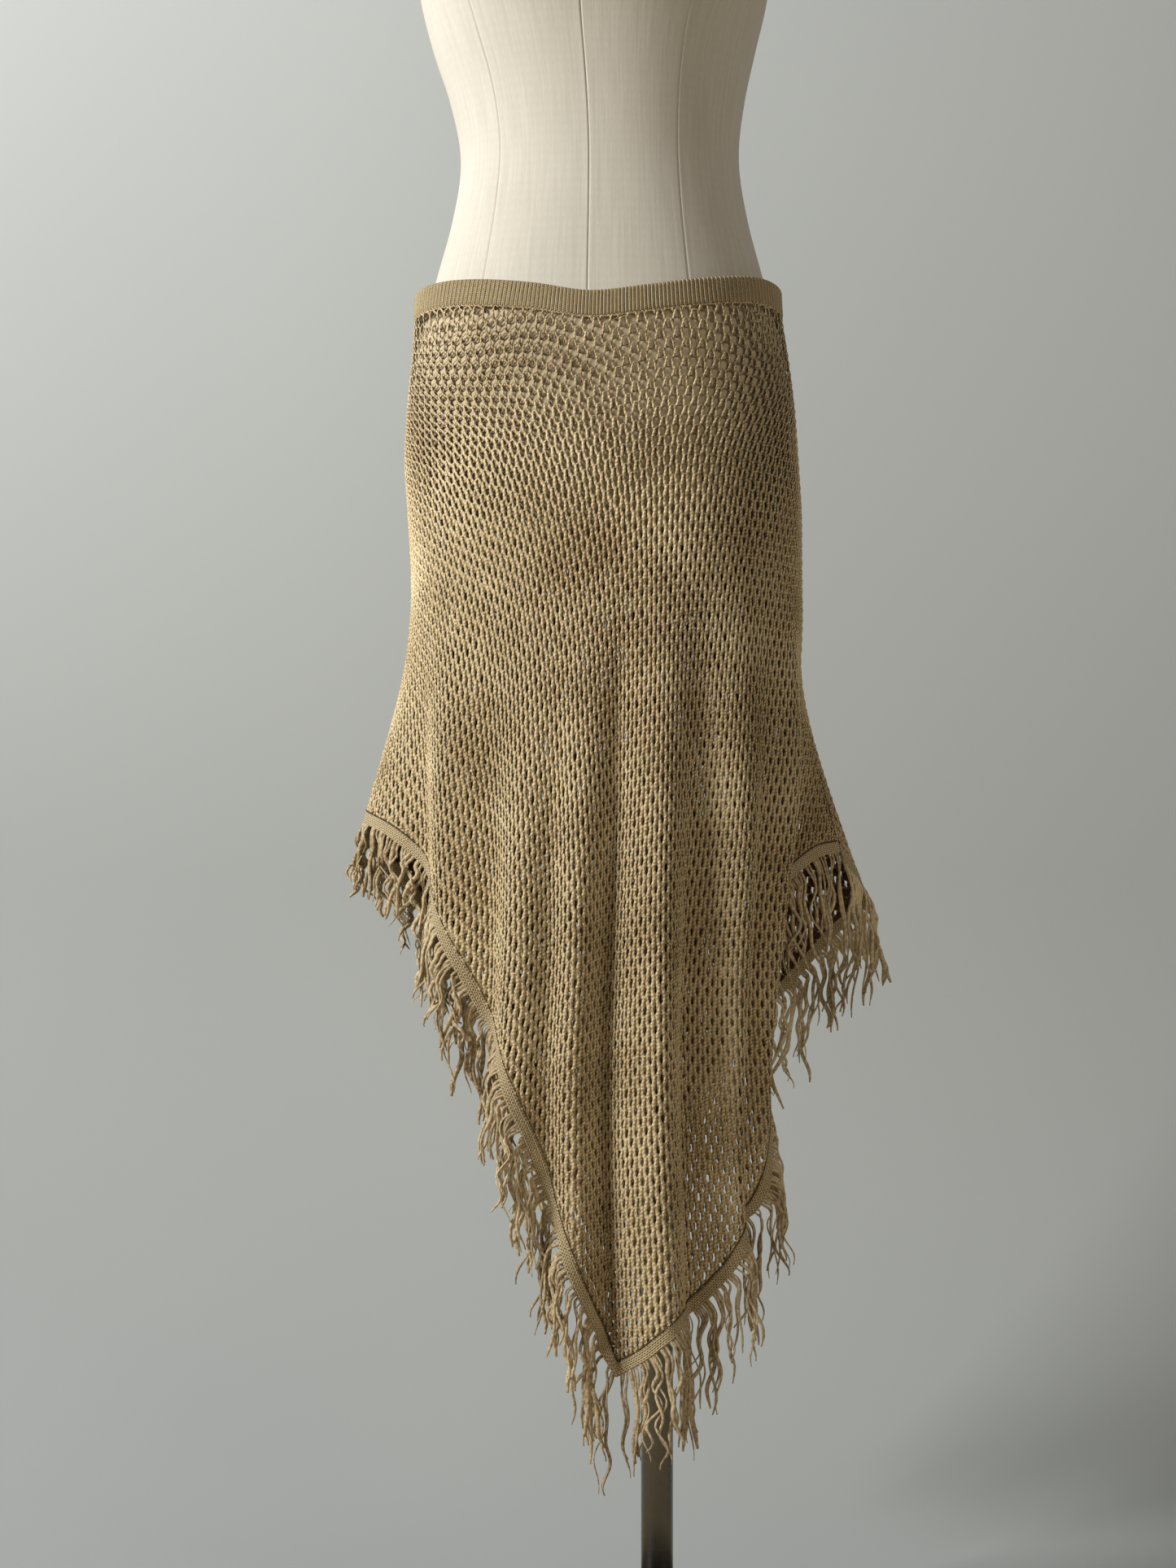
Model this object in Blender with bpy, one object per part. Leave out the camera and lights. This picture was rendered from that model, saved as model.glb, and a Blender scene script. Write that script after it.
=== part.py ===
"""Fringed knit midi skirt worn by a limbless dress form on a steel pole stand.

Metres, +Z up. The origin is on the floor, on the pole's axis. -Y is the front of
the skirt, and +X is on the right seen from the front. Angles are measured round
the form's own vertical axis, from the centre front: +90 degrees is towards +X.
"""
import math

import bmesh
import bpy
import numpy as np
from mathutils import Vector

# Stand
PLATE_RADIUS = 0.165
PLATE_THICKNESS = 0.006
PLATE_EDGE_ROUNDING = 0.002
SOCKET_RADIUS = 0.024
SOCKET_HEIGHT = 0.045
POLE_RADIUS = 0.013
FLANGE_RADIUS = 0.048
FLANGE_THICKNESS = 0.008
ROUND_SIDES = 32

# Dress form, cut flat below the hips and closed at the neck by a cap
FORM_BOTTOM = 0.889
NECK_TOP = 1.628
NECK_CAP_HEIGHT = 0.012
NECK_CAP_OVERHANG = 0.003
FORM_SIDES = 32
FORM = (
    # height, half width, front depth, back depth, centre x, squareness
    (0.8890, 0.1545, 0.1110, 0.1210, -0.0420, 2.30),
    (0.9200, 0.1560, 0.1135, 0.1245, -0.0428, 2.30),
    (0.9600, 0.1562, 0.1125, 0.1240, -0.0448, 2.30),
    (1.0000, 0.1538, 0.1090, 0.1190, -0.0455, 2.30),
    (1.0400, 0.1490, 0.1040, 0.1100, -0.0462, 2.30),
    (1.0785, 0.1400, 0.0985, 0.0990, -0.0465, 2.28),
    (1.1147, 0.1300, 0.0940, 0.0915, -0.0464, 2.25),
    (1.1543, 0.1195, 0.0900, 0.0850, -0.0462, 2.20),
    (1.2038, 0.1126, 0.0880, 0.0825, -0.0464, 2.15),
    (1.2533, 0.1195, 0.0935, 0.0870, -0.0485, 2.15),
    (1.2929, 0.1303, 0.1040, 0.0930, -0.0508, 2.20),
    (1.3325, 0.1399, 0.1200, 0.0980, -0.0512, 2.25),
    (1.3800, 0.1460, 0.1290, 0.1010, -0.0512, 2.25),
    (1.4300, 0.1520, 0.1180, 0.1040, -0.0512, 2.25),
    (1.4800, 0.1640, 0.0980, 0.1020, -0.0512, 2.25),
    (1.5200, 0.1740, 0.0840, 0.0930, -0.0512, 2.20),
    (1.5450, 0.1640, 0.0760, 0.0840, -0.0512, 2.10),
    (1.5650, 0.1280, 0.0680, 0.0740, -0.0512, 2.00),
    (1.5800, 0.0860, 0.0600, 0.0640, -0.0512, 2.00),
    (1.5950, 0.0620, 0.0550, 0.0570, -0.0512, 2.00),
    (1.6280, 0.0560, 0.0540, 0.0540, -0.0512, 2.00),
)
FORM_RINGS = 22

# Skirt: the inner face of the cloth, which rests on the form at the hips
CLOTH = 0.0020
SEAM_GAP = 0.0003
SKIRT = (
    # height, half width, front depth, back depth, centre x
    (0.2500, 0.1250, 0.1180, 0.1300, -0.0400),
    (0.5000, 0.1340, 0.1200, 0.1330, -0.0470),
    (0.6000, 0.1450, 0.1195, 0.1325, -0.0455),
    (0.7000, 0.1535, 0.1180, 0.1310, -0.0425),
    (0.8000, 0.1560, 0.1160, 0.1280, -0.0405),
    (0.8800, 0.1562, 0.1148, 0.1265, -0.0412),
    (0.9200, 0.1572, 0.1144, 0.1256, -0.0426),
    (0.9600, 0.1572, 0.1134, 0.1252, -0.0450),
    (1.0000, 0.1550, 0.1099, 0.1202, -0.0455),
    (1.0400, 0.1508, 0.1049, 0.1112, -0.0462),
    (1.0785, 0.1466, 0.0994, 0.1002, -0.0476),
    (1.1100, 0.1452, 0.0957, 0.0945, -0.0476),
)
SKIRT_SQUARENESS = 2.30

# Folds open below the form. Angles drift from the first value to the second
FOLD_LOW = 0.30
FOLDS = (
    # angle high, angle low, half width, reach out, starts at, full at
    (-94, -94, 17.0, 0.078, 0.860, 0.500),
    (-71, -70, 6.5, -0.009, 0.860, 0.650),
    (-57, -54, 7.5, 0.008, 0.890, 0.650),
    (-42, -43, 6.5, -0.010, 0.885, 0.600),
    (-27, -31, 6.5, 0.010, 0.885, 0.500),
    (-18, -20, 5.5, -0.006, 0.880, 0.500),
    (-10, -11, 5.0, 0.006, 0.880, 0.500),
    (5, 1, 6.0, -0.018, 0.885, 0.550),
    (19, 20, 8.0, 0.012, 0.885, 0.500),
    (34, 35, 6.5, -0.018, 0.885, 0.500),
    (49, 50, 6.5, 0.010, 0.885, 0.550),
    (58, 57, 4.0, -0.007, 0.880, 0.600),
    (67, 66, 6.5, 0.015, 0.885, 0.680),
    (84, 83, 10.5, -0.040, 0.840, 0.560),
    (104, 104, 15.0, 0.130, 0.830, 0.440),
    (124, 124, 8.0, -0.014, 0.860, 0.600),
    (140, 140, 9.0, 0.012, 0.870, 0.550),
    (156, 156, 7.0, -0.013, 0.880, 0.500),
    (171, 171, 8.0, 0.012, 0.880, 0.500),
    (186, 186, 6.5, -0.015, 0.880, 0.500),
    (203, 203, 9.0, 0.013, 0.880, 0.500),
    (220, 220, 7.0, -0.012, 0.870, 0.550),
    (236, 236, 9.0, 0.010, 0.870, 0.600),
    (250, 250, 7.0, -0.008, 0.860, 0.650),
)

# Waistband, a 1 by 1 rib
BAND_HEIGHT = 0.0205
BAND_THICKNESS = 0.0020
RIB_COUNT = 200
RIB_HEIGHT = 0.0009
RIBS_PER_INNER_SIDE = 4
BAND_TOP = (
    # angle, height
    (-180, 1.0990),
    (-120, 1.0960),
    (-90, 1.0940),
    (-60, 1.0945),
    (-30, 1.0880),
    (-5, 1.0808),
    (22, 1.0860),
    (45, 1.0935),
    (62, 1.0985),
    (90, 1.0962),
    (120, 1.0970),
)

# Panels meet at two side seams. Each hangs to a point at the front or back
SEAM_LEFT = -94.0
SEAM_RIGHT = 98.0
POINT_FRONT = 4.5
POINT_BACK = 182.0
HEM_FRONT_LEFT = (
    # angle, height of the panel's lower edge
    (SEAM_LEFT, 0.6780),
    (-88.0, 0.6760),
    (-79.0, 0.6660),
    (-72.0, 0.6480),
    (-65.0, 0.6270),
    (-58.0, 0.6040),
    (-50.0, 0.5640),
    (-44.0, 0.5290),
    (-38.0, 0.5090),
    (-34.0, 0.4960),
    (-30.0, 0.4740),
    (-26.0, 0.4450),
    (-22.0, 0.4160),
    (-18.0, 0.3880),
    (-13.0, 0.3560),
    (-9.0, 0.3250),
    (-5.0, 0.2975),
    (-1.0, 0.2765),
    (POINT_FRONT, 0.2560),
)
HEM_FRONT_RIGHT = (
    (POINT_FRONT, 0.2560),
    (12.0, 0.2695),
    (20.0, 0.2870),
    (26.0, 0.2955),
    (33.0, 0.2975),
    (38.0, 0.3050),
    (44.0, 0.3270),
    (50.0, 0.3520),
    (56.0, 0.3640),
    (60.0, 0.3740),
    (63.5, 0.4000),
    (68.0, 0.4640),
    (73.5, 0.5300),
    (80.0, 0.5850),
    (88.0, 0.6250),
    (93.5, 0.6490),
    (SEAM_RIGHT, 0.6530),
)
HEM_BACK_RIGHT = (
    (SEAM_RIGHT, 0.6530),
    (101.0, 0.6320),
    (106.0, 0.6080),
    (113.0, 0.5780),
    (120.0, 0.5250),
    (133.0, 0.4750),
    (148.0, 0.4220),
    (163.0, 0.3720),
    (176.0, 0.3350),
    (POINT_BACK, 0.3230),
)
HEM_BACK_LEFT = (
    (POINT_BACK, 0.3230),
    (190.0, 0.3500),
    (205.0, 0.4200),
    (222.0, 0.5000),
    (240.0, 0.5750),
    (254.0, 0.6350),
    (SEAM_LEFT + 360, 0.6780),
)
# Each panel: name, rows of cloth over the form, rows below it, and for each half
# its own name, its hem and its columns of cloth
PANELS = (
    ("front", 5, 8, (("left", HEM_FRONT_LEFT, 27), ("right", HEM_FRONT_RIGHT, 26))),
    ("back", 5, 6, (("right", HEM_BACK_RIGHT, 19), ("left", HEM_BACK_LEFT, 18))),
)
FOLDS_BEGIN = 0.885
SEAM_TRIM = 0.0002

# The border is a flat tube of knit along the hem: share of its width and thickness
BORDER_WIDTH = 0.0095
BORDER_THICKNESS = 0.0030
BORDER_SHAPE = (
    (0.0, 0.25),
    (0.3, 0.50),
    (0.7, 0.50),
    (1.0, 0.25),
    (1.0, -0.25),
    (0.7, -0.50),
    (0.3, -0.50),
    (0.0, -0.25),
)

# Fringe: locks of yarn on a narrow strip below the border
STRIP_WIDTH = 0.0020
STRIP_THICKNESS = 0.0018
STRIP_GAP = 0.0005
STRIP_END_TRIM = 0.04
LOCK_SPACING = 0.0104
LOCK_CLEARANCE = 0.0036
LOCK_FILL = 0.6
LOCK_WIDTH = 0.0036
LOCK_THROW = 0.0060
LOCK_LIFT = 0.0034
LOCK_SWAY = 0.0010
LOCK_LENGTH = 0.0760
LOCK_LENGTH_VARIES = 0.0100
LOCK_MARGIN = 0.0006
LOCK_TIP_SHARE = 0.6

# Finishes: colour, roughness, metallic
KNIT_NET = ((0.36, 0.27, 0.14), 0.90, 0.0)
KNIT_RIB = ((0.29, 0.23, 0.12), 0.90, 0.0)
KNIT_BORDER = ((0.40, 0.31, 0.17), 0.85, 0.0)
YARN = ((0.44, 0.34, 0.19), 0.85, 0.0)
LINEN = ((0.78, 0.75, 0.66), 0.90, 0.0)
BEECH = ((0.50, 0.34, 0.19), 0.50, 0.0)
POLISHED_STEEL = ((0.58, 0.58, 0.57), 0.18, 1.0)
PAINTED_STEEL = ((0.05, 0.05, 0.05), 0.45, 0.0)


def curve_through(table, column, at, around=None):
    """Value at a height or angle on the smooth curve through one column."""
    knots = np.array([row[0] for row in table], float)
    values = np.array([row[column] for row in table], float)
    if around:
        knots = np.concatenate((knots - around, knots, knots + around))
        values = np.tile(values, 3)
    slopes = np.gradient(values, knots)
    at = min(max(at, knots[0]), knots[-1])
    k = int(min(max(np.searchsorted(knots, at) - 1, 0), len(knots) - 2))
    span = knots[k + 1] - knots[k]
    t = (at - knots[k]) / span
    rise, fall = t * t * (3 - 2 * t), 1 - t * t * (3 - 2 * t)
    lean = t * (1 - t) ** 2 * slopes[k] - t * t * (1 - t) * slopes[k + 1]
    return float(values[k] * fall + values[k + 1] * rise + lean * span)


def ease(t):
    t = min(max(t, 0.0), 1.0)
    return t * t * (3 - 2 * t)


def oval_radius(angle, half_width, front, back, squareness):
    side = abs(math.sin(math.radians(angle))) / half_width
    turn = math.cos(math.radians(angle))
    depth = abs(turn) / (front if turn > 0 else back)
    return (side ** squareness + depth ** squareness) ** (-1 / squareness)


def around_axis(angle, radius, centre_x, height):
    turn = math.radians(angle)
    return Vector((centre_x + radius * math.sin(turn), -radius * math.cos(turn), height))


def form_point(angle, height):
    half_width, front, back, centre_x, squareness = (
        curve_through(FORM, column, height) for column in (1, 2, 3, 4, 5)
    )
    radius = oval_radius(angle, half_width, front, back, squareness)
    return around_axis(angle, radius, centre_x, height)


def fold_reach(angle, height):
    """How far the folds push the cloth outwards there, or inwards where below 0."""
    reach = 0.0
    for high, low, half_width, out, start, full in FOLDS:
        drift = ease((start - height) / (start - FOLD_LOW))
        centre = high + (low - high) * drift
        away = (angle - centre + 180) % 360 - 180
        growth = ease((start - height) / (start - full))
        reach += out * growth * math.exp(-((away / half_width) ** 2))
    return reach


def skirt_point(angle, height):
    half_width, front, back, centre_x = (
        curve_through(SKIRT, column, height) for column in (1, 2, 3, 4)
    )
    radius = oval_radius(angle, half_width, front, back, SKIRT_SQUARENESS)
    return around_axis(angle, radius + fold_reach(angle, height), centre_x, height)


def skirt_normal(angle, height):
    step_angle, step_height = 0.25, 0.0005
    across = skirt_point(angle + step_angle, height) - skirt_point(angle - step_angle, height)
    up = skirt_point(angle, height + step_height) - skirt_point(angle, height - step_height)
    return across.cross(up).normalized()


def cloth_point(angle, height, out):
    """A point of the skirt, moved out from the cloth's inner face."""
    return skirt_point(angle, height) + skirt_normal(angle, height) * out


def band_top(angle):
    return curve_through(BAND_TOP, 1, angle, around=360)


def panel_top(angle):
    return band_top(angle) - BAND_HEIGHT - SEAM_GAP


def half_angles(hem, columns):
    """Angles of a half panel's columns, trimmed where it ends at a side seam."""
    first, last = hem[0][0], hem[-1][0]
    angles = [first + (last - first) * k / columns for k in range(columns + 1)]
    for end, inwards in ((0, 1), (-1, -1)):
        if angles[end] in (SEAM_LEFT, SEAM_RIGHT, SEAM_LEFT + 360):
            radius = math.hypot(*skirt_point(angles[end], hem[end][1]).xy)
            angles[end] += inwards * math.degrees(SEAM_TRIM / radius)
    return angles


def hem_spots(halves):
    """Angle and lower edge of each column of a panel, and where its halves meet."""
    spots = []
    meet = 0
    for _, hem, columns in halves:
        angles = half_angles(hem, columns)
        meet = len(spots) - 1
        spots += [(angle, curve_through(hem, 1, angle)) for angle in angles[bool(spots):]]
    return spots, meet


def material(name, colour, roughness, metallic):
    made = bpy.data.materials.new(name)
    made.use_nodes = True
    shader = made.node_tree.nodes["Principled BSDF"]
    shader.inputs["Base Color"].default_value = (*colour, 1.0)
    shader.inputs["Roughness"].default_value = roughness
    shader.inputs["Metallic"].default_value = metallic
    return made


def add_object(name, bm, finish):
    """Turns a closed bmesh into a named object with its faces pointing out."""
    bmesh.ops.recalc_face_normals(bm, faces=bm.faces)
    mesh = bpy.data.meshes.new(name)
    bm.to_mesh(mesh)
    bm.free()
    mesh.shade_smooth()
    mesh.set_sharp_from_angle(angle=math.radians(40))
    mesh.materials.append(material(name, *finish))
    bpy.context.scene.collection.objects.link(bpy.data.objects.new(name, mesh))


def ring_faces(bm, near, far, skip=None):
    """Triangles between two loops, with every diagonal leaning the same way, so that
    the faces on the two sides of a seam stay parallel."""
    for k in range(len(near)):
        after = (k + 1) % len(near)
        if k != skip:
            bm.faces.new((near[k], near[after], far[after]))
            bm.faces.new((near[k], far[after], far[k]))


def skin_sections(bm, sections):
    """Faces between closed sections of equal length, and one at each end."""
    rings = [[bm.verts.new(point) for point in section] for section in sections]
    for near, far in zip(rings[:-1], rings[1:]):
        ring_faces(bm, near, far)
    bm.faces.new(rings[0])
    bm.faces.new(rings[-1])
    return rings


def add_turned(name, centre_x, profile, finish):
    """A round piece from its outer profile, a list of (radius, height)."""
    bm = bmesh.new()
    turns = [360 * k / ROUND_SIDES for k in range(ROUND_SIDES)]
    skin_sections(bm, [
        [around_axis(turn, radius, centre_x, height) for turn in turns]
        for radius, height in profile
    ])
    add_object(name, bm, finish)


def add_stand():
    rounding = PLATE_EDGE_ROUNDING
    add_turned("base_plate", 0.0, (
        (PLATE_RADIUS, 0.0),
        (PLATE_RADIUS, PLATE_THICKNESS - rounding),
        (PLATE_RADIUS - rounding * 0.3, PLATE_THICKNESS - rounding * 0.3),
        (PLATE_RADIUS - rounding, PLATE_THICKNESS),
    ), PAINTED_STEEL)
    foot = PLATE_THICKNESS + SEAM_GAP
    top = foot + SOCKET_HEIGHT
    add_turned("pole_socket", 0.0, (
        (SOCKET_RADIUS, foot),
        (SOCKET_RADIUS, foot + rounding),
        (SOCKET_RADIUS * 0.72, foot + SOCKET_HEIGHT * 0.25),
        (SOCKET_RADIUS * 0.66, top - rounding),
        (SOCKET_RADIUS * 0.60, top),
    ), POLISHED_STEEL)
    flange_top = FORM_BOTTOM - SEAM_GAP
    flange_foot = flange_top - FLANGE_THICKNESS
    add_turned("pole", 0.0, (
        (POLE_RADIUS, top + SEAM_GAP),
        (POLE_RADIUS, flange_foot - SEAM_GAP),
    ), POLISHED_STEEL)
    add_turned("form_flange", 0.0, (
        (FLANGE_RADIUS * 0.45, flange_foot),
        (FLANGE_RADIUS * 0.90, flange_foot + rounding),
        (FLANGE_RADIUS, flange_foot + rounding * 2),
        (FLANGE_RADIUS, flange_top),
    ), PAINTED_STEEL)


def add_form():
    bm = bmesh.new()
    turns = [360 * k / FORM_SIDES for k in range(FORM_SIDES)]
    rise = (NECK_TOP - FORM_BOTTOM) / FORM_RINGS
    heights = [FORM_BOTTOM + rise * k for k in range(FORM_RINGS + 1)]
    skin_sections(bm, [[form_point(turn, height) for turn in turns] for height in heights])
    add_object("form_torso", bm, LINEN)
    _, neck_half_width, neck_depth, _, neck_x, _ = FORM[-1]
    radius = max(neck_half_width, neck_depth) + NECK_CAP_OVERHANG
    foot = NECK_TOP + SEAM_GAP
    add_turned("neck_cap", neck_x, (
        (radius, foot),
        (radius, foot + NECK_CAP_HEIGHT * 0.5),
        (radius * 0.97, foot + NECK_CAP_HEIGHT * 0.8),
        (radius * 0.88, foot + NECK_CAP_HEIGHT),
    ), BEECH)


def add_waistband():
    """A plain inner ring, and an outer one whose points step out and in for the ribs."""
    points = RIB_COUNT * 2
    per_side = RIBS_PER_INNER_SIDE * 2
    bm = bmesh.new()
    inner, outer = [], []
    for drop in (0.0, BAND_HEIGHT):
        inside, outside = [], []
        for k in range(points):
            angle = 360 * k / points
            height = band_top(angle) - drop
            out = BAND_THICKNESS + (RIB_HEIGHT if k % 2 else 0.0)
            outside.append(bm.verts.new(cloth_point(angle, height, out)))
            if k % per_side == 0:
                inside.append(bm.verts.new(skirt_point(angle, height)))
        inner.append(inside)
        outer.append(outside)
    ring_faces(bm, *inner)
    ring_faces(bm, *outer)
    for inside, outside in zip(inner, outer):
        for side in range(len(inside)):
            start = side * per_side
            arc = [outside[(start + k) % points] for k in range(per_side + 1)]
            bm.faces.new([inside[(side + 1) % len(inside)], inside[side]] + arc)
    add_object("waistband", bm, KNIT_RIB)


def column_heights(top, foot, over_form, below):
    upper = [top + (FOLDS_BEGIN - top) * row / over_form for row in range(over_form)]
    lower = [FOLDS_BEGIN + (foot - FOLDS_BEGIN) * row / below for row in range(below + 1)]
    return upper + lower


def add_panel(name, over_form, below, halves):
    """Two layers of points, the cloth's inner and outer faces, joined round the rim."""
    spots, _ = hem_spots(halves)
    rows = over_form + below
    last = len(spots) - 1
    bm = bmesh.new()
    layers = []
    for out in (0.0, CLOTH):
        layers.append([
            [
                bm.verts.new(cloth_point(angle, height, out))
                for height in column_heights(panel_top(angle), foot, over_form, below)
            ]
            for angle, foot in spots
        ])
    for layer in layers:
        for near, far in zip(layer[:-1], layer[1:]):
            for row in range(rows):
                bm.faces.new((near[row], near[row + 1], far[row + 1], far[row]))
    rim = [(0, row) for row in range(rows)]
    rim += [(column, rows) for column in range(last)]
    rim += [(last, row) for row in range(rows, 0, -1)]
    rim += [(column, 0) for column in range(last, 0, -1)]
    ring_faces(bm, *([layer[column][row] for column, row in rim] for layer in layers))
    add_object(name + "_panel", bm, KNIT_NET)


def hem_line(spots):
    """The panel's lower edge: its points, and at each the direction off the edge in
    the plane of the cloth, long enough to keep widths even at corners, and the
    cloth's outward normal."""
    edge = [skirt_point(angle, height) for angle, height in spots]
    last = len(spots) - 1
    line = []
    for k, (angle, height) in enumerate(spots):
        normal = skirt_normal(angle, height)
        before = (edge[max(k, 1)] - edge[max(k, 1) - 1]).normalized()
        after = (edge[min(k, last - 1) + 1] - edge[min(k, last - 1)]).normalized()
        off = (before + after).cross(normal).normalized()
        if k in (0, last):
            down = (skirt_point(angle, height - 0.001) - edge[k]).normalized()
            off = down / down.dot(off)
        else:
            off = off / math.sqrt((1 + before.dot(after)) / 2)
        line.append((edge[k], off, normal))
    return line


def strip_section(spot, nearest, width, thickness, shape):
    """Points round a strip that lies along the hem, from its shape's shares."""
    edge, off, normal = spot
    return [
        edge + off * (nearest + width * across) + normal * (CLOTH / 2 + thickness * rise)
        for across, rise in shape
    ]


def add_border(name, line):
    bm = bmesh.new()
    skin_sections(bm, [
        strip_section(spot, SEAM_GAP, BORDER_WIDTH, BORDER_THICKNESS, BORDER_SHAPE)
        for spot in line
    ])
    add_object(name, bm, KNIT_BORDER)


def lock_elbow(root, off, out):
    """Where a lock that leaves the strip at this root turns to hang straight down."""
    across = off.normalized() * LOCK_THROW * 0.8 + out * LOCK_LIFT
    return root + across - Vector((0, 0, LOCK_THROW * 0.7))


def lock_places(line, corners):
    """Stretches of the strip that carry a lock: segment, start and end share, width."""
    roots = [(section[0] + section[1]) / 2 for section in corners]
    elbows = [lock_elbow(root, spot[1], spot[2]) for root, spot in zip(roots, line)]
    places = []
    due = 0.5
    for k in range(len(roots) - 1):
        length = (roots[k + 1] - roots[k]).length
        level = (elbows[k + 1] - elbows[k]).xy.length
        locks = min(length / LOCK_SPACING, level / LOCK_CLEARANCE)
        while due < locks:
            width = min(LOCK_WIDTH, level / locks * LOCK_FILL)
            half = width / 2 / length
            edge = half + LOCK_MARGIN / length
            middle = min(max(due / locks, edge), 1 - edge)
            places.append((k, middle - half, middle + half, width))
            due += 1
        due -= locks
    return places


def grow_lock(bm, root, off, normal, width, number):
    """A tapering lock from four points of the strip: off the hem, then straight down."""
    middle = sum((vert.co for vert in root), Vector()) / 4
    along = (root[2].co + root[3].co - root[0].co - root[1].co).normalized()
    out = (root[0].co + root[3].co - root[1].co - root[2].co).normalized()
    level_out = Vector((out.x, out.y, 0.0)).normalized()
    level_along = level_out.cross(Vector((0, 0, 1)))
    if level_along.dot(along) < 0:
        level_along = -level_along
    elbow = lock_elbow(middle, off, normal)
    length = LOCK_LENGTH + LOCK_LENGTH_VARIES * math.sin(number * 2.4) - LOCK_THROW
    sway = level_out * (LOCK_SWAY * math.sin(number * 1.7))
    steps = (
        (elbow, (along + level_along).normalized(), out, 1.0),
        (elbow + sway - Vector((0, 0, length)), level_along, level_out, LOCK_TIP_SHARE),
    )
    ring = root
    for centre, side, front, share in steps:
        half_side = side * (width * share / 2)
        half_front = front * (STRIP_THICKNESS * share / 2)
        corners = (
            centre - half_side + half_front,
            centre - half_side - half_front,
            centre + half_side - half_front,
            centre + half_side + half_front,
        )
        after = [bm.verts.new(corner) for corner in corners]
        ring_faces(bm, ring, after)
        ring = after
    bm.faces.new(ring)


def add_fringe(name, line, mitre_first):
    """A half hem's fringe: a strip just below the border, and locks grown out of it."""
    nearest = SEAM_GAP + BORDER_WIDTH + STRIP_GAP
    shape = ((1.0, -0.5), (1.0, 0.5), (0.0, 0.5), (0.0, -0.5))
    corners = [strip_section(spot, nearest, STRIP_WIDTH, STRIP_THICKNESS, shape) for spot in line]

    def section(k, share):
        return [near.lerp(far, share) for near, far in zip(corners[k], corners[k + 1])]

    last = len(line) - 2
    stations = [(k, 0.0) for k in range(1, last + 1)]
    stations.append((0, STRIP_END_TRIM if mitre_first else 0.0))
    stations.append((last, 1.0 if mitre_first else 1.0 - STRIP_END_TRIM))
    places = lock_places(line, corners)
    for k, start, end, _ in places:
        stations += [(k, start), (k, end)]
    stations.sort(key=lambda station: station[0] + station[1])
    bm = bmesh.new()
    rings = [[bm.verts.new(point) for point in section(*station)] for station in stations]
    locks = {(k, start): ((start + end) / 2, width) for k, start, end, width in places}
    for station, near, far in zip(stations[:-1], rings[:-1], rings[1:]):
        if station not in locks:
            ring_faces(bm, near, far)
            continue
        share, width = locks[station]
        before, after = line[station[0]], line[station[0] + 1]
        off, normal = (before[part].lerp(after[part], share) for part in (1, 2))
        ring_faces(bm, near, far, skip=0)
        grow_lock(bm, [near[1], near[0], far[0], far[1]], off, normal, width, len(bm.faces))
    bm.faces.new(rings[0])
    bm.faces.new(rings[-1])
    add_object(name, bm, YARN)


def add_skirt():
    add_waistband()
    for name, over_form, below, halves in PANELS:
        add_panel(name, over_form, below, halves)
        spots, meet = hem_spots(halves)
        line = hem_line(spots)
        add_border("hem_border_" + name, line)
        add_fringe("fringe_%s_%s" % (name, halves[0][0]), line[:meet + 1], False)
        add_fringe("fringe_%s_%s" % (name, halves[1][0]), line[meet:], True)


def main():
    for old in list(bpy.data.objects):
        bpy.data.objects.remove(old)
    add_stand()
    add_form()
    add_skirt()


main()
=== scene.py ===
import math

import bmesh
import bpy
import numpy as np
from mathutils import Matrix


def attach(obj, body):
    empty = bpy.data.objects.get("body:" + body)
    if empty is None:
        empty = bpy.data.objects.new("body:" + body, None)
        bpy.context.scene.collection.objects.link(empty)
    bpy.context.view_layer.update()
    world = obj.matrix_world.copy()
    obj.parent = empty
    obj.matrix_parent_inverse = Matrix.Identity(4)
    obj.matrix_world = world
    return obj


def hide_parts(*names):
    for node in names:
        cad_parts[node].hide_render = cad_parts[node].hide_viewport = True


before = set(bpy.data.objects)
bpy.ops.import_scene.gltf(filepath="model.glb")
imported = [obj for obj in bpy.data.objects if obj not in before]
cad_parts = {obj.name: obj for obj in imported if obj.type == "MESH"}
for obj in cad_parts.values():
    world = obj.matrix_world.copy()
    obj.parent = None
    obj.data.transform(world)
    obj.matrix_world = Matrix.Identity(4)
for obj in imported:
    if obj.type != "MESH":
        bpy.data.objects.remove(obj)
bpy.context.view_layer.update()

# A knitted skirt on a dress form. Metres, the floor at height 0, the front towards -Y.
# Angles go round the form from the centre front, and +90 degrees is towards +X.
chance = np.random.default_rng(7)

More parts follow.
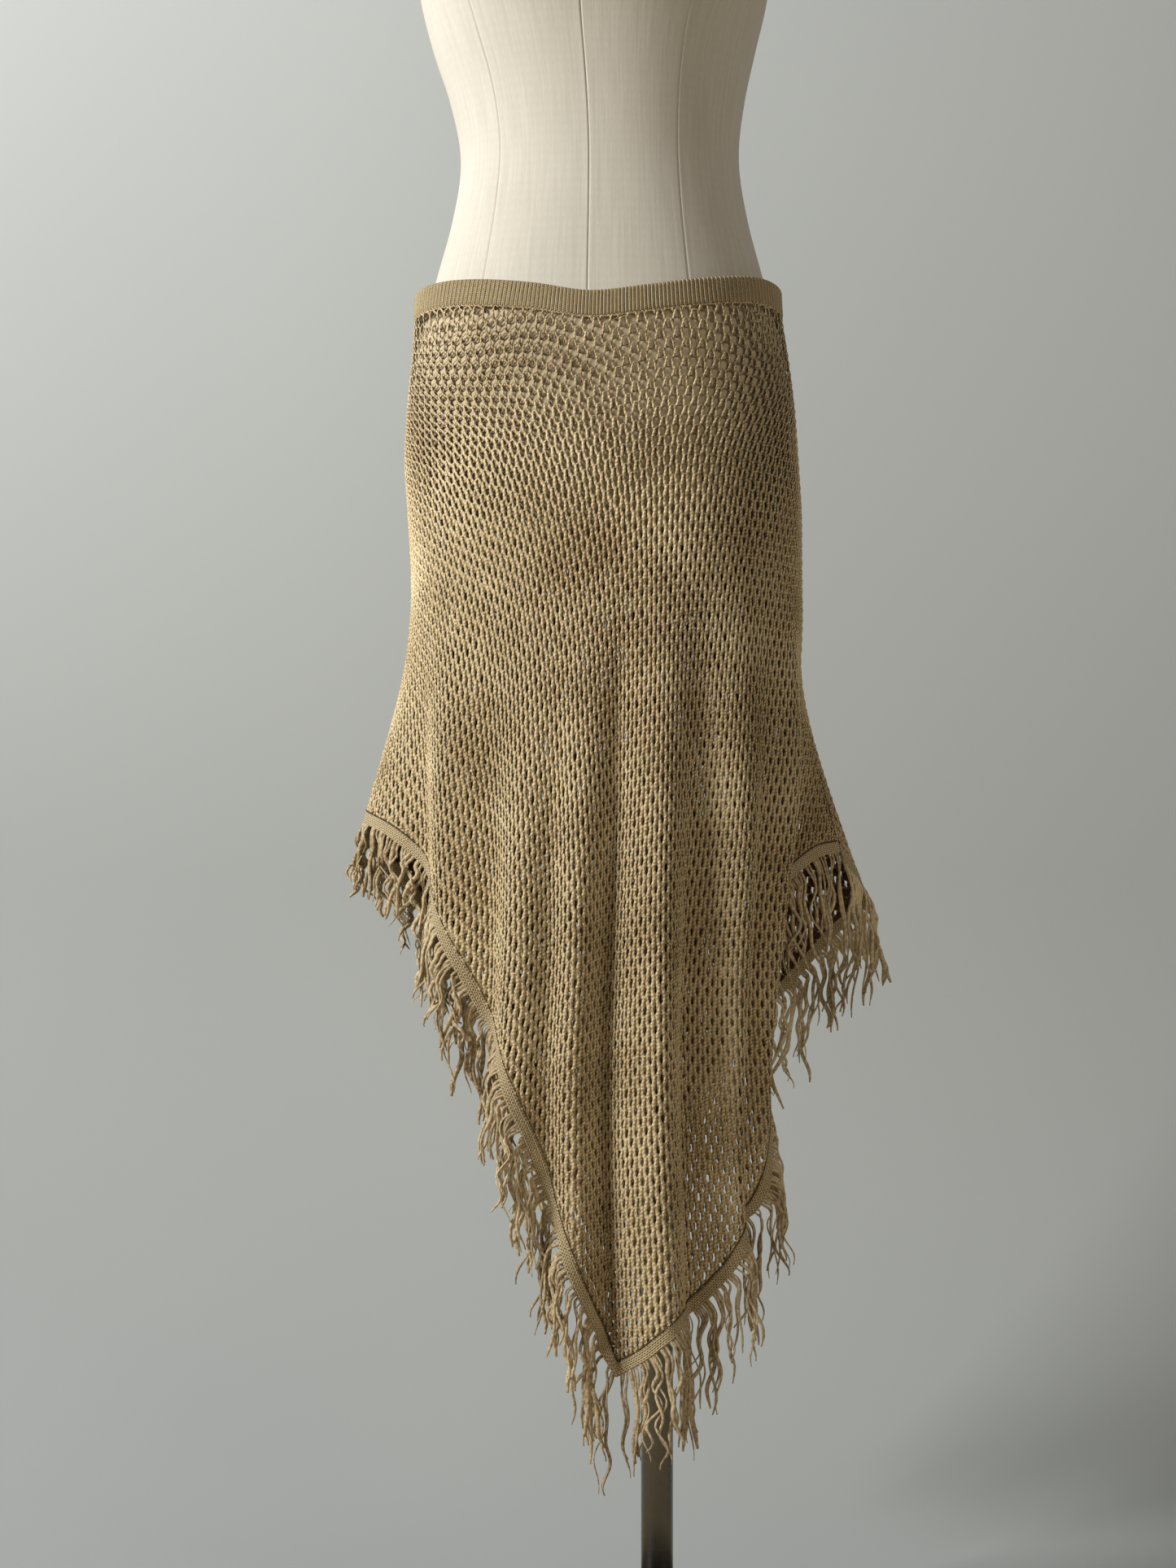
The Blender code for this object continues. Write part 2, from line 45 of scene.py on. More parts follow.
# Stand and form
PLATE_RADIUS = 0.165
PLATE_THICKNESS = 0.006
EDGE_ROUNDING = 0.002
SOCKET_RADIUS = 0.024
SOCKET_HEIGHT = 0.045
POLE_RADIUS = 0.013
FLANGE_RADIUS = 0.048
FLANGE_THICKNESS = 0.008
FORM_BOTTOM = 0.889
NECK_TOP = 1.628
NECK_CAP_HEIGHT = 0.012
NECK_CAP_OVERHANG = 0.003
FORM = (
    # height, half width, front depth, back depth, centre x, squareness
    (0.8890, 0.1545, 0.1110, 0.1210, -0.0420, 2.30),
    (0.9200, 0.1560, 0.1135, 0.1245, -0.0428, 2.30),
    (0.9600, 0.1562, 0.1125, 0.1240, -0.0448, 2.30),
    (1.0000, 0.1538, 0.1090, 0.1190, -0.0455, 2.30),
    (1.0400, 0.1490, 0.1040, 0.1100, -0.0462, 2.30),
    (1.0785, 0.1400, 0.0985, 0.0990, -0.0465, 2.28),
    (1.1147, 0.1300, 0.0940, 0.0915, -0.0464, 2.25),
    (1.1543, 0.1195, 0.0900, 0.0850, -0.0462, 2.20),
    (1.2038, 0.1126, 0.0880, 0.0825, -0.0464, 2.15),
    (1.2533, 0.1195, 0.0935, 0.0870, -0.0485, 2.15),
    (1.2929, 0.1303, 0.1040, 0.0930, -0.0508, 2.20),
    (1.3325, 0.1399, 0.1200, 0.0980, -0.0512, 2.25),
    (1.3800, 0.1460, 0.1290, 0.1010, -0.0512, 2.25),
    (1.4300, 0.1520, 0.1180, 0.1040, -0.0512, 2.25),
    (1.4800, 0.1640, 0.0980, 0.1020, -0.0512, 2.25),
    (1.5200, 0.1740, 0.0840, 0.0930, -0.0512, 2.20),
    (1.5450, 0.1640, 0.0760, 0.0840, -0.0512, 2.10),
    (1.5650, 0.1280, 0.0680, 0.0740, -0.0512, 2.00),
    (1.5800, 0.0860, 0.0600, 0.0640, -0.0512, 2.00),
    (1.5950, 0.0620, 0.0550, 0.0570, -0.0512, 2.00),
    (1.6280, 0.0560, 0.0540, 0.0540, -0.0512, 2.00),
)
FORM_AXIS = -0.046
FORM_ROWS = 110
# The cover's seams: angle, and the height above which each stops
COVER_SEAMS = (
    (-49.8, 1.530),
    (-5.8, 1.595),
    (38.2, 1.530),
    (92.0, 1.500),
    (134.0, 1.530),
    (174.2, 1.595),
    (214.4, 1.530),
    (256.4, 1.500),
)
SEAM_GROOVE = 0.0006

# Skirt: the inner face of the cloth
CLOTH = 0.0020
SEAM_GAP = 0.0003
SKIRT = (
    # height, half width, front depth, back depth, centre x
    (0.2500, 0.1250, 0.1180, 0.1300, -0.0400),
    (0.5000, 0.1340, 0.1200, 0.1330, -0.0470),
    (0.6000, 0.1450, 0.1195, 0.1325, -0.0455),
    (0.7000, 0.1535, 0.1180, 0.1310, -0.0425),
    (0.8000, 0.1560, 0.1160, 0.1280, -0.0405),
    (0.8800, 0.1562, 0.1148, 0.1265, -0.0412),
    (0.9200, 0.1572, 0.1144, 0.1256, -0.0426),
    (0.9600, 0.1572, 0.1134, 0.1252, -0.0450),
    (1.0000, 0.1550, 0.1099, 0.1202, -0.0455),
    (1.0400, 0.1508, 0.1049, 0.1112, -0.0462),
    (1.0785, 0.1466, 0.0994, 0.1002, -0.0476),
    (1.1100, 0.1452, 0.0957, 0.0945, -0.0476),
)
SKIRT_SQUARENESS = 2.30
FOLD_LOW = 0.30
FOLDS = (
    # angle high, angle low, half width, reach out, starts at, full at
    (-94, -94, 17.0, 0.078, 0.860, 0.500),
    (-71, -70, 6.5, -0.009, 0.860, 0.650),
    (-57, -54, 7.5, 0.008, 0.890, 0.650),
    (-42, -43, 6.5, -0.010, 0.885, 0.600),
    (-27, -31, 6.5, 0.010, 0.885, 0.500),
    (-18, -20, 5.5, -0.006, 0.880, 0.500),
    (-10, -11, 5.0, 0.006, 0.880, 0.500),
    (5, 1, 6.0, -0.018, 0.885, 0.550),
    (19, 20, 8.0, 0.012, 0.885, 0.500),
    (34, 35, 6.5, -0.018, 0.885, 0.500),
    (49, 50, 6.5, 0.010, 0.885, 0.550),
    (58, 57, 4.0, -0.007, 0.880, 0.600),
    (67, 66, 6.5, 0.015, 0.885, 0.680),
    (84, 83, 10.5, -0.040, 0.840, 0.560),
    (104, 104, 15.0, 0.130, 0.830, 0.440),
    (124, 124, 8.0, -0.014, 0.860, 0.600),
    (140, 140, 9.0, 0.012, 0.870, 0.550),
    (156, 156, 7.0, -0.013, 0.880, 0.500),
    (171, 171, 8.0, 0.012, 0.880, 0.500),
    (186, 186, 6.5, -0.015, 0.880, 0.500),
    (203, 203, 9.0, 0.013, 0.880, 0.500),
    (220, 220, 7.0, -0.012, 0.870, 0.550),
    (236, 236, 9.0, 0.010, 0.870, 0.600),
    (250, 250, 7.0, -0.008, 0.860, 0.650),
)
BAND_HEIGHT = 0.0205
BAND_THICKNESS = 0.0020
BAND_TOP = (
    # angle, height
    (-180, 1.0990),
    (-120, 1.0960),
    (-90, 1.0940),
    (-60, 1.0945),
    (-30, 1.0880),
    (-5, 1.0808),
    (22, 1.0860),
    (45, 1.0935),
    (62, 1.0985),
    (90, 1.0962),
    (120, 1.0970),
)
SEAM_LEFT = -94.0
SEAM_RIGHT = 98.0
POINT_FRONT = 4.5
POINT_BACK = 182.0
HEM_FRONT_LEFT = (
    # angle, height of the panel's lower edge
    (SEAM_LEFT, 0.6780),
    (-88.0, 0.6760),
    (-79.0, 0.6660),
    (-72.0, 0.6480),
    (-65.0, 0.6270),
    (-58.0, 0.6040),
    (-50.0, 0.5640),
    (-44.0, 0.5290),
    (-38.0, 0.5090),
    (-34.0, 0.4960),
    (-30.0, 0.4740),
    (-26.0, 0.4450),
    (-22.0, 0.4160),
    (-18.0, 0.3880),
    (-13.0, 0.3560),
    (-9.0, 0.3250),
    (-5.0, 0.2975),
    (-1.0, 0.2765),
    (POINT_FRONT, 0.2560),
)
HEM_FRONT_RIGHT = (
    (POINT_FRONT, 0.2560),
    (12.0, 0.2695),
    (20.0, 0.2870),
    (26.0, 0.2955),
    (33.0, 0.2975),
    (38.0, 0.3050),
    (44.0, 0.3270),
    (50.0, 0.3520),
    (56.0, 0.3640),
    (60.0, 0.3740),
    (63.5, 0.4000),
    (68.0, 0.4640),
    (73.5, 0.5300),
    (80.0, 0.5850),
    (88.0, 0.6250),
    (93.5, 0.6490),
    (SEAM_RIGHT, 0.6530),
)
HEM_BACK_RIGHT = (
    (SEAM_RIGHT, 0.6530),
    (101.0, 0.6320),
    (106.0, 0.6080),
    (113.0, 0.5780),
    (120.0, 0.5250),
    (133.0, 0.4750),
    (148.0, 0.4220),
    (163.0, 0.3720),
    (176.0, 0.3350),
    (POINT_BACK, 0.3230),
)
HEM_BACK_LEFT = (
    (POINT_BACK, 0.3230),
    (190.0, 0.3500),
    (205.0, 0.4200),
    (222.0, 0.5000),
    (240.0, 0.5750),
    (254.0, 0.6350),
    (SEAM_LEFT + 360, 0.6780),
)
# Each panel: name, angle it faces, row of net where its two pieces part, its hem in
# two halves with their columns in the solid
PANELS = (
    ("front", 0.0, 74, (("left", HEM_FRONT_LEFT, 27), ("right", HEM_FRONT_RIGHT, 26))),
    ("back", 180.0, 74, (("right", HEM_BACK_RIGHT, 19), ("left", HEM_BACK_LEFT, 18))),
)
BORDER_WIDTH = 0.0095
BORDER_THICKNESS = 0.0030

# Yarn and stitches. The net's columns of stitches lean together below the hips, and its
# rows run level on the right but drop towards the left.
YARN_RADIUS = 0.00118
# Share of its girth that the yarn keeps where it is stretched over the hips
HIPS_THIN = 0.72
ROW_SPACING = 0.0076
ROW_REACH = 0.0074
ROW_TOP = 1.265
ROW_DROP = (
    # angle from where the panel faces, drop
    (-100, 0.182),
    (-80, 0.150),
    (-52, 0.100),
    (-27, 0.045),
    (3, 0.012),
    (30, 0.000),
    (60, 0.004),
    (104, 0.015),
)
COLUMN_CENTRE = 12.0
COLUMN_SPACING = (
    # height, spacing
    (0.250, 0.0044),
    (0.390, 0.0041),
    (0.500, 0.0039),
    (0.620, 0.0036),
    (0.710, 0.0034),
    (0.800, 0.0034),
    (0.883, 0.0039),
    (0.957, 0.0048),
    (1.032, 0.0067),
    (1.110, 0.0074),
)
# Where the net hangs, its yarn is as plump as its columns are wide apart, and has its
# full girth at this spacing
FULL_SPACING = 0.0033
COLUMN_WIDENING = (
    # angle from where the panel faces, share of the spacing above
    (-100, 1.40),
    (-52, 1.28),
    (-27, 1.06),
    (3, 1.00),
    (104, 1.00),
)
LOOP_DEPTH = 0.00080
NET_TRIM = 0.35
# Along each leg of a loop: share of its reach, depth towards the front, then for cloth
# that hangs and for cloth stretched on the form how many columns it leans and its girth
LOOP_POINTS = (
    (-1.00, -0.7, (-0.28, 1.40), (-0.25, 1.0)),
    (-0.36, -1.0, (-0.22, 1.80), (-0.10, 1.0)),
    (0.34, 1.0, (0.04, 0.90), (0.08, 1.0)),
    (1.00, 0.1, (0.22, 0.84), (0.25, 1.0)),
)
RIB_COUNT = 228
RIB_SPACING = 0.0034
RIB_HEIGHT = 0.0013
RIB_LEAN = 0.0020
STITCH = 0.0022
BORDER_WALES = 3
LINK_RADIUS = 0.00062
WAIST_LINK_RADIUS = 0.00055
SEAM_STITCH = 0.0024
SEAM_YARN_RADIUS = 0.00105
# Angles from a side seam to its edge yarns, and to the tips of its whipped stitches
SEAM_EDGES = (-0.5, 0.0, 0.5)
SEAM_REACH = 0.85
LOCK_SPACING = 0.0088
YARNS_PER_LOCK = (2, 3)
FRINGE_RADIUS = 0.00190
# Angle from where the panel faces, and the length of the fringe there
FRINGE_LENGTH = {
    "front": ((-100, 0.048), (-75, 0.060), (-40, 0.076), (-10, 0.084), (10, 0.088),
              (45, 0.082), (100, 0.080)),
    "back": ((-90, 0.080), (-30, 0.082), (10, 0.080), (35, 0.060), (60, 0.046),
             (90, 0.042)),
}
FRINGE_POINTS = 25

# Lamps and camera
LAMPS = (
    # name, place, aim, side, watts, colour
    ("window", (-2.32, -1.15, 2.05), (0.0, 0.1, 2.85), 1.0, 121, "FFFBF4"),
    ("room", (1.6, -1.5, 1.6), (0.0, 0.0, 1.4), 1.0, 8.0, "FFF0DC"),
)
ROOM_LIGHT = 0.105
CAMERA_PLACE = (-0.056, -2.0, 0.70)
CAMERA_LENS = 56.6


def through(table, column, at, around=None):
    """Values at heights or angles on the smooth curve through one column."""
    knots = np.array([row[0] for row in table], float)
    values = np.array([row[column] for row in table], float)
    if around:
        knots = np.concatenate((knots - around, knots, knots + around))
        values = np.tile(values, 3)
    slopes = np.gradient(values, knots)
    at = np.clip(at, knots[0], knots[-1])
    k = np.clip(np.searchsorted(knots, at) - 1, 0, len(knots) - 2)
    span = knots[k + 1] - knots[k]
    t = (at - knots[k]) / span
    rise = ease(t)
    lean = t * (1 - t) ** 2 * slopes[k] - t * t * (1 - t) * slopes[k + 1]
    return values[k] * (1 - rise) + values[k + 1] * rise + lean * span


def ease(t):
    t = np.clip(t, 0.0, 1.0)
    return t * t * (3 - 2 * t)


def unit(vectors):
    return vectors / np.linalg.norm(vectors, axis=-1, keepdims=True)


def around_axis(angle, radius, centre_x, height):
    turn = np.radians(angle)
    return np.stack((centre_x + radius * np.sin(turn), -radius * np.cos(turn), height), -1)


def oval_radius(angle, half_width, front, back, squareness):
    turn = np.cos(np.radians(angle))
    side = np.abs(np.sin(np.radians(angle))) / half_width
    depth = np.abs(turn) / np.where(turn > 0, front, back)
    return (side ** squareness + depth ** squareness) ** (-1 / squareness)


def form_at(angle, height):
    angle, height = np.broadcast_arrays(np.asarray(angle, float), height)
    half_width, front, back, centre_x, squareness = (
        through(FORM, column, height) for column in (1, 2, 3, 4, 5)
    )
    radius = oval_radius(angle, half_width, front, back, squareness)
    return around_axis(angle, radius, centre_x, height)


def skirt_at(angle, height):
    """Points of the cloth's inner face: the hang of the skirt, with its folds."""
    angle, height = np.broadcast_arrays(np.asarray(angle, float), height)
    half_width, front, back, centre_x = (
        through(SKIRT, column, height) for column in (1, 2, 3, 4)
    )
    radius = oval_radius(angle, half_width, front, back, SKIRT_SQUARENESS)
    for high, low, fold_width, out, start, full in FOLDS:
        centre = high + (low - high) * ease((start - height) / (start - FOLD_LOW))
        away = (angle - centre + 180) % 360 - 180
        growth = ease((start - height) / (start - full))
        radius = radius + out * growth * np.exp(-((away / fold_width) ** 2))
    return around_axis(angle, radius, centre_x, height)


def skirt_normal(angle, height):
    across = skirt_at(angle + 0.25, height) - skirt_at(angle - 0.25, height)
    up = skirt_at(angle, height + 0.0005) - skirt_at(angle, height - 0.0005)
    return unit(np.cross(across, up))


def cloth_at(angle, height, out):
    return skirt_at(angle, height) + skirt_normal(angle, height) * np.asarray(out)[..., None]


def band_top(angle):
    return through(BAND_TOP, 1, (np.asarray(angle, float) + 180) % 360 - 180, around=360)


def panel_top(angle):
    return band_top(angle) - BAND_HEIGHT - SEAM_GAP


def hem_height(halves, angle):
    (_, first, _), (_, second, _) = halves
    before = through(first, 1, angle)
    return np.where(angle < first[-1][0], before, through(second, 1, angle))


def run_length(points):
    steps = np.linalg.norm(np.diff(points, axis=0), axis=1)
    return np.concatenate(([0.0], np.cumsum(steps)))


# Making pieces

def show(name, mesh, material, nodes=()):
    """Puts a finished mesh in the scene as a piece that rides on the one body."""
    piece = bpy.data.objects.new(name, mesh)
    mesh.name = name
    bpy.context.scene.collection.objects.link(piece)
    mesh.materials.clear()
    mesh.materials.append(material)
    mesh.shade_smooth()
    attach(piece, "root")
    if nodes:
        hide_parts(*nodes)
    return piece


def wrapped_grid(columns, rows, place, close_across=False, fill_ends=False):
    """A grid moved into shape. place gives, for shares across and up, the points and
    their lengths along the surface in metres, which become the UV map."""
    bm = bmesh.new()
    bmesh.ops.create_grid(bm, x_segments=columns, y_segments=rows, size=0.5)
    shares = np.array([vert.co[:2] for vert in bm.verts]) + 0.5
    points, lengths = place(shares[:, 0], shares[:, 1])
    layer = bm.loops.layers.uv.new("UVMap")
    for vert, point in zip(bm.verts, points):
        vert.co = point
    bm.verts.index_update()
    for face in bm.faces:
        for loop in face.loops:
            loop[layer].uv = lengths[loop.vert.index]
    if close_across:
        bmesh.ops.remove_doubles(bm, verts=bm.verts, dist=1e-6)
    if fill_ends:
        bmesh.ops.holes_fill(bm, edges=[e for e in bm.edges if e.is_boundary], sides=0)
    bmesh.ops.recalc_face_normals(bm, faces=bm.faces)
    mesh = bpy.data.meshes.new("grid")
    bm.to_mesh(mesh)
    bm.free()
    return mesh


def yarn_mesh(runs, facings, half_width, swells=None, flatness=0.45):
    """Yarns as soft, slightly flat strands along runs of points, with closed ends. The
    facings say which way their flat sides look. The UV map holds the length along each
    yarn in metres, and the share of the way round it."""
    bm = bmesh.new()
    around = np.arange(5) * math.pi / 2
    places, lengths = [], []
    for k, run in enumerate(runs):
        bmesh.ops.create_grid(bm, x_segments=4, y_segments=len(run) - 1, size=0.5)
        along = unit(np.gradient(run, axis=0))
        side = unit(np.cross(along, facings[k]))
        out = np.cross(side, along)
        ring = (side[:, None] * np.cos(around)[:, None]
                + out[:, None] * np.sin(around)[:, None] * flatness)
        girth = half_width * (np.ones(len(run)) if swells is None else swells[k])
        places.append((run[:, None] + ring * girth[:, None, None]).reshape(-1, 3))
        spread = np.broadcast_arrays(run_length(run)[:, None], np.arange(5) / 4)
        lengths.append(np.stack(spread, -1).reshape(-1, 2))
    mesh = bpy.data.meshes.new("yarn")
    bm.to_mesh(mesh)
    mesh.vertices.foreach_set("co", np.concatenate(places).ravel())
    corners = np.empty(len(mesh.loops), np.int32)
    mesh.loops.foreach_get("vertex_index", corners)
    layer = mesh.uv_layers.new(name="UVMap")
    layer.data.foreach_set("uv", np.concatenate(lengths)[corners].ravel())
    bm.clear()
    bm.from_mesh(mesh)
    bmesh.ops.remove_doubles(bm, verts=bm.verts, dist=1e-6)
    bmesh.ops.holes_fill(bm, edges=[e for e in bm.edges if e.is_boundary], sides=0)
    bmesh.ops.recalc_face_normals(bm, faces=bm.faces)
    bm.to_mesh(mesh)
    bm.free()
    return mesh


def turned(name, centre_x, profile, material, node, rounding=0.0, sides=96):
    """A lathe-turned piece from its outer profile of radius and height."""
    bm = bmesh.new()
    verts = [bm.verts.new((centre_x + radius, 0.0, height)) for radius, height in profile]
    edges = [bm.edges.new(pair) for pair in zip(verts[:-1], verts[1:])]
    bmesh.ops.spin(bm, geom=verts + edges, cent=(centre_x, 0, 0), axis=(0, 0, 1),
                   angle=2 * math.pi, steps=sides, use_merge=True)
    bmesh.ops.remove_doubles(bm, verts=bm.verts, dist=1e-6)
    bmesh.ops.recalc_face_normals(bm, faces=bm.faces)
    if rounding:
        sharp = [e for e in bm.edges if len(e.link_faces) == 2 and e.calc_face_angle() > 0.6]
        bmesh.ops.bevel(bm, geom=sharp, offset=rounding, offset_type="OFFSET", segments=3,
                        profile=0.5, affect="EDGES", material=-1)
    mesh = bpy.data.meshes.new(name)
    bm.to_mesh(mesh)
    bm.free()
    show(name, mesh, material, [node])
    mesh.set_sharp_from_angle(angle=math.radians(50))


# Materials

def linear(hex_colour):
    """An sRGB hex colour as the linear values that sockets take."""
    values = [int(hex_colour[k:k + 2], 16) / 255 for k in (0, 2, 4)]
    even = (v / 12.92 if v <= 0.04045 else ((v + 0.055) / 1.055) ** 2.4 for v in values)
    return (*even, 1.0)


def start_material(name):
    material = bpy.data.materials.new(name)
    material.use_nodes = True
    tree = material.node_tree
    return material, tree, tree.nodes["Principled BSDF"]


def add_node(tree, kind, settings=None, inputs=None):
    """Adds a node, sets its properties, and fills sockets with values or links."""
    made = tree.nodes.new(kind)
    for name, value in (settings or {}).items():
        setattr(made, name, value)
    for name, value in (inputs or {}).items():
        if isinstance(value, bpy.types.NodeSocket):
            tree.links.new(value, made.inputs[name])
        else:
            made.inputs[name].default_value = value
    return made


def join_surface(tree, shader, colour, bump, constants):
    """Joins a colour and a bump to the shader, and sets its constants."""
    tree.links.new(colour.outputs[2], shader.inputs["Base Color"])
    tree.links.new(bump.outputs["Normal"], shader.inputs["Normal"])
    for name, value in constants.items():
        shader.inputs[name].default_value = value


MIX_COLOUR = {"data_type": "RGBA"}


def knit_yarn(name, dark, light, fleck_mm, ply_mm, ply_share, recess_shade=None):
    """Matt viscose yarn: two plies that wind round each other, with lighter and darker
    slubs; the grooves between the plies are painted darker, as painted shade. The recess
    shade tone is painted shade on the strands behind, laid on by the mesh's depth values."""
    material, tree, shader = start_material(name)
    place = add_node(tree, "ShaderNodeTexCoord").outputs["Object"]
    slubs = add_node(tree, "ShaderNodeTexNoise", inputs={
        "Vector": place, "Scale": 1000 / fleck_mm, "Detail": 3.0, "Roughness": 0.6})
    drift = add_node(tree, "ShaderNodeTexNoise", inputs={
        "Vector": place, "Scale": 1000 / 70, "Detail": 2.0})
    tone = add_node(tree, "ShaderNodeMath", {"operation": "MULTIPLY"}, {
        0: drift.outputs["Fac"], 1: 0.6})
    lengths = add_node(tree, "ShaderNodeUVMap", {"uv_map": "UVMap"}).outputs["UV"]
    parts = add_node(tree, "ShaderNodeSeparateXYZ", inputs={0: lengths})
    turns = add_node(tree, "ShaderNodeMath", {"operation": "MULTIPLY_ADD"}, {
        0: parts.outputs["X"], 1: 1000 / ply_mm, 2: parts.outputs["Y"]})
    wind = add_node(tree, "ShaderNodeMath", {"operation": "MULTIPLY"}, {
        0: turns.outputs[0], 1: 2 * math.pi})
    plies = add_node(tree, "ShaderNodeMath", {"operation": "SINE"}, {0: wind.outputs[0]})
    flecks = add_node(tree, "ShaderNodeMath", {"operation": "MULTIPLY_ADD"}, {
        0: slubs.outputs["Fac"], 1: 0.9, 2: tone.outputs[0]})
    both = add_node(tree, "ShaderNodeMath", {"operation": "MULTIPLY_ADD"}, {
        0: plies.outputs[0], 1: ply_share, 2: flecks.outputs[0]})
    share = add_node(tree, "ShaderNodeMapRange", inputs={
        "Value": both.outputs[0], "From Min": 0.45, "From Max": 1.0})
    colour = add_node(tree, "ShaderNodeMix", MIX_COLOUR, {
        "Factor": share.outputs[0], 6: linear(dark), 7: linear(light)})
    bump = add_node(tree, "ShaderNodeBump", inputs={
        "Height": both.outputs[0], "Strength": 0.8, "Distance": 0.0004})
    # Painted shade: strands lying deep in the cloth, by the depth values, are multiplied towards
    # the recess shade tone.
    if recess_shade:
        depth = add_node(tree, "ShaderNodeAttribute", {"attribute_name": "depth"})
        rise = add_node(tree, "ShaderNodeMapRange", {"interpolation_type": "SMOOTHSTEP"}, {
            "Value": depth.outputs["Fac"], "From Min": 0.15, "From Max": 0.80})
        shade = add_node(tree, "ShaderNodeMix", MIX_COLOUR, {
            "Factor": rise.outputs[0], 6: linear(recess_shade), 7: linear("FFFFFF")})
        colour = add_node(tree, "ShaderNodeMix", {**MIX_COLOUR, "blend_type": "MULTIPLY"}, {
            "Factor": 1.0, 6: colour.outputs[2], 7: shade.outputs[2]})
    join_surface(tree, shader, colour, bump, {
        "Roughness": 0.85, "Sheen Weight": 0.06, "Sheen Roughness": 0.6, "IOR": 1.53,
        "Specular IOR Level": 0.3})
    return material


def stitched_knit(name, dark, light, wale_mm, stitch_mm):
    """Fine stocking stitch: columns of V stitches read from the piece's own UV map. The
    colour follows the stitches' relief, so its grooves between wales and stitches are
    painted shade, over slubs of the yarn's own tone.
    """
    material, tree, shader = start_material(name)
    lengths = add_node(tree, "ShaderNodeUVMap", {"uv_map": "UVMap"}).outputs["UV"]
    parts = add_node(tree, "ShaderNodeSeparateXYZ", inputs={0: lengths})
    side = add_node(tree, "ShaderNodeMath", {"operation": "PINGPONG"}, {
        0: parts.outputs["Y"], 1: wale_mm / 2000})
    slant = add_node(tree, "ShaderNodeMath", {"operation": "MULTIPLY_ADD"}, {
        0: side.outputs[0], 1: 1.1, 2: parts.outputs["X"]})
    leg = add_node(tree, "ShaderNodeMath", {"operation": "MULTIPLY"}, {
        0: slant.outputs[0], 1: 2 * math.pi * 1000 / stitch_mm})
    wave = add_node(tree, "ShaderNodeMath", {"operation": "SINE"}, {0: leg.outputs[0]})
    groove = add_node(tree, "ShaderNodeMath", {"operation": "PINGPONG"}, {
        0: side.outputs[0], 1: wale_mm / 4000})
    swell = add_node(tree, "ShaderNodeMath", {"operation": "MULTIPLY"}, {
        0: groove.outputs[0], 1: 4000 / wale_mm})
    relief = add_node(tree, "ShaderNodeMath", {"operation": "MULTIPLY_ADD"}, {
        0: wave.outputs[0], 1: 0.35, 2: swell.outputs[0]})
    place = add_node(tree, "ShaderNodeTexCoord").outputs["Object"]
    slubs = add_node(tree, "ShaderNodeTexNoise", inputs={
        "Vector": place, "Scale": 1000 / 1.6, "Detail": 3.0})
    height = add_node(tree, "ShaderNodeMath", {"operation": "MULTIPLY_ADD"}, {
        0: slubs.outputs["Fac"], 1: 0.9, 2: relief.outputs[0]})
    # Painted shade: the low parts of the relief take the dark colour, the high parts the light
    # one.
    share = add_node(tree, "ShaderNodeMapRange", inputs={
        "Value": height.outputs[0], "From Min": 0.25, "From Max": 1.35})
    colour = add_node(tree, "ShaderNodeMix", MIX_COLOUR, {
        "Factor": share.outputs[0], 6: linear(dark), 7: linear(light)})
    bump = add_node(tree, "ShaderNodeBump", inputs={
        "Height": height.outputs[0], "Strength": 0.9, "Distance": 0.0006})
    join_surface(tree, shader, colour, bump, {
        "Roughness": 0.88, "Sheen Weight": 0.15, "Specular IOR Level": 0.3})
    return material


def linen_canvas():
    """Plain woven linen: threads 0.5 mm apart, drawn 1.2 mm apart so that they show,
    with slubs along both directions. Below the waistband it is painted darker and
    warmer: painted shade under the knit, tinted like the warm light that the knit throws
    back."""
    material, tree, shader = start_material("plain woven linen")
    lengths = add_node(tree, "ShaderNodeUVMap", {"uv_map": "UVMap"}).outputs["UV"]
    wefts, warps = (
        add_node(tree, "ShaderNodeTexWave", {"bands_direction": direction}, {
            "Vector": lengths, "Scale": 1000 / 1.2 / 20, "Distortion": 3.0,
            "Detail": 2.0, "Detail Scale": 3.0})
        for direction in "XY"
    )
    weave = add_node(tree, "ShaderNodeMath", {"operation": "MULTIPLY"}, {
        0: wefts.outputs["Fac"], 1: warps.outputs["Fac"]})
    stretched = add_node(tree, "ShaderNodeMapping", inputs={
        "Vector": lengths, "Scale": (1000 / 3, 1000 / 60, 1.0)})
    slubs = add_node(tree, "ShaderNodeTexNoise", inputs={
        "Vector": stretched.outputs[0], "Scale": 1.0, "Detail": 4.0, "Roughness": 0.65})
    mottle = add_node(tree, "ShaderNodeMath", {"operation": "MULTIPLY_ADD"}, {
        0: weave.outputs[0], 1: 0.10, 2: slubs.outputs["Fac"]})
    share = add_node(tree, "ShaderNodeMapRange", inputs={
        "Value": mottle.outputs[0], "From Min": 0.25, "From Max": 0.95})
    cover = add_node(tree, "ShaderNodeMix", MIX_COLOUR, {
        "Factor": share.outputs[0], 6: linear("CBC8BD"), 7: linear("E1DED5")})
    place = add_node(tree, "ShaderNodeTexCoord").outputs["Object"]
    level = add_node(tree, "ShaderNodeSeparateXYZ", inputs={0: place})
    # Painted shade: below about 1.08 m, where the skirt covers it, the linen is multiplied by a
    # warm, darker tone.
    bared = add_node(tree, "ShaderNodeMapRange", inputs={
        "Value": level.outputs["Z"], "From Min": 1.0780, "From Max": 1.0808})
    shade = add_node(tree, "ShaderNodeMix", MIX_COLOUR, {
        "Factor": bared.outputs[0], 6: linear("F8EACF"), 7: linear("FFFFFF")})
    colour = add_node(tree, "ShaderNodeMix", {**MIX_COLOUR, "blend_type": "MULTIPLY"}, {
        "Factor": 1.0, 6: cover.outputs[2], 7: shade.outputs[2]})
    bump = add_node(tree, "ShaderNodeBump", inputs={
        "Height": mottle.outputs[0], "Strength": 0.35, "Distance": 0.0003})
    join_surface(tree, shader, colour, bump, {
        "Roughness": 0.9, "Sheen Weight": 0.1, "Specular IOR Level": 0.25})
    return material


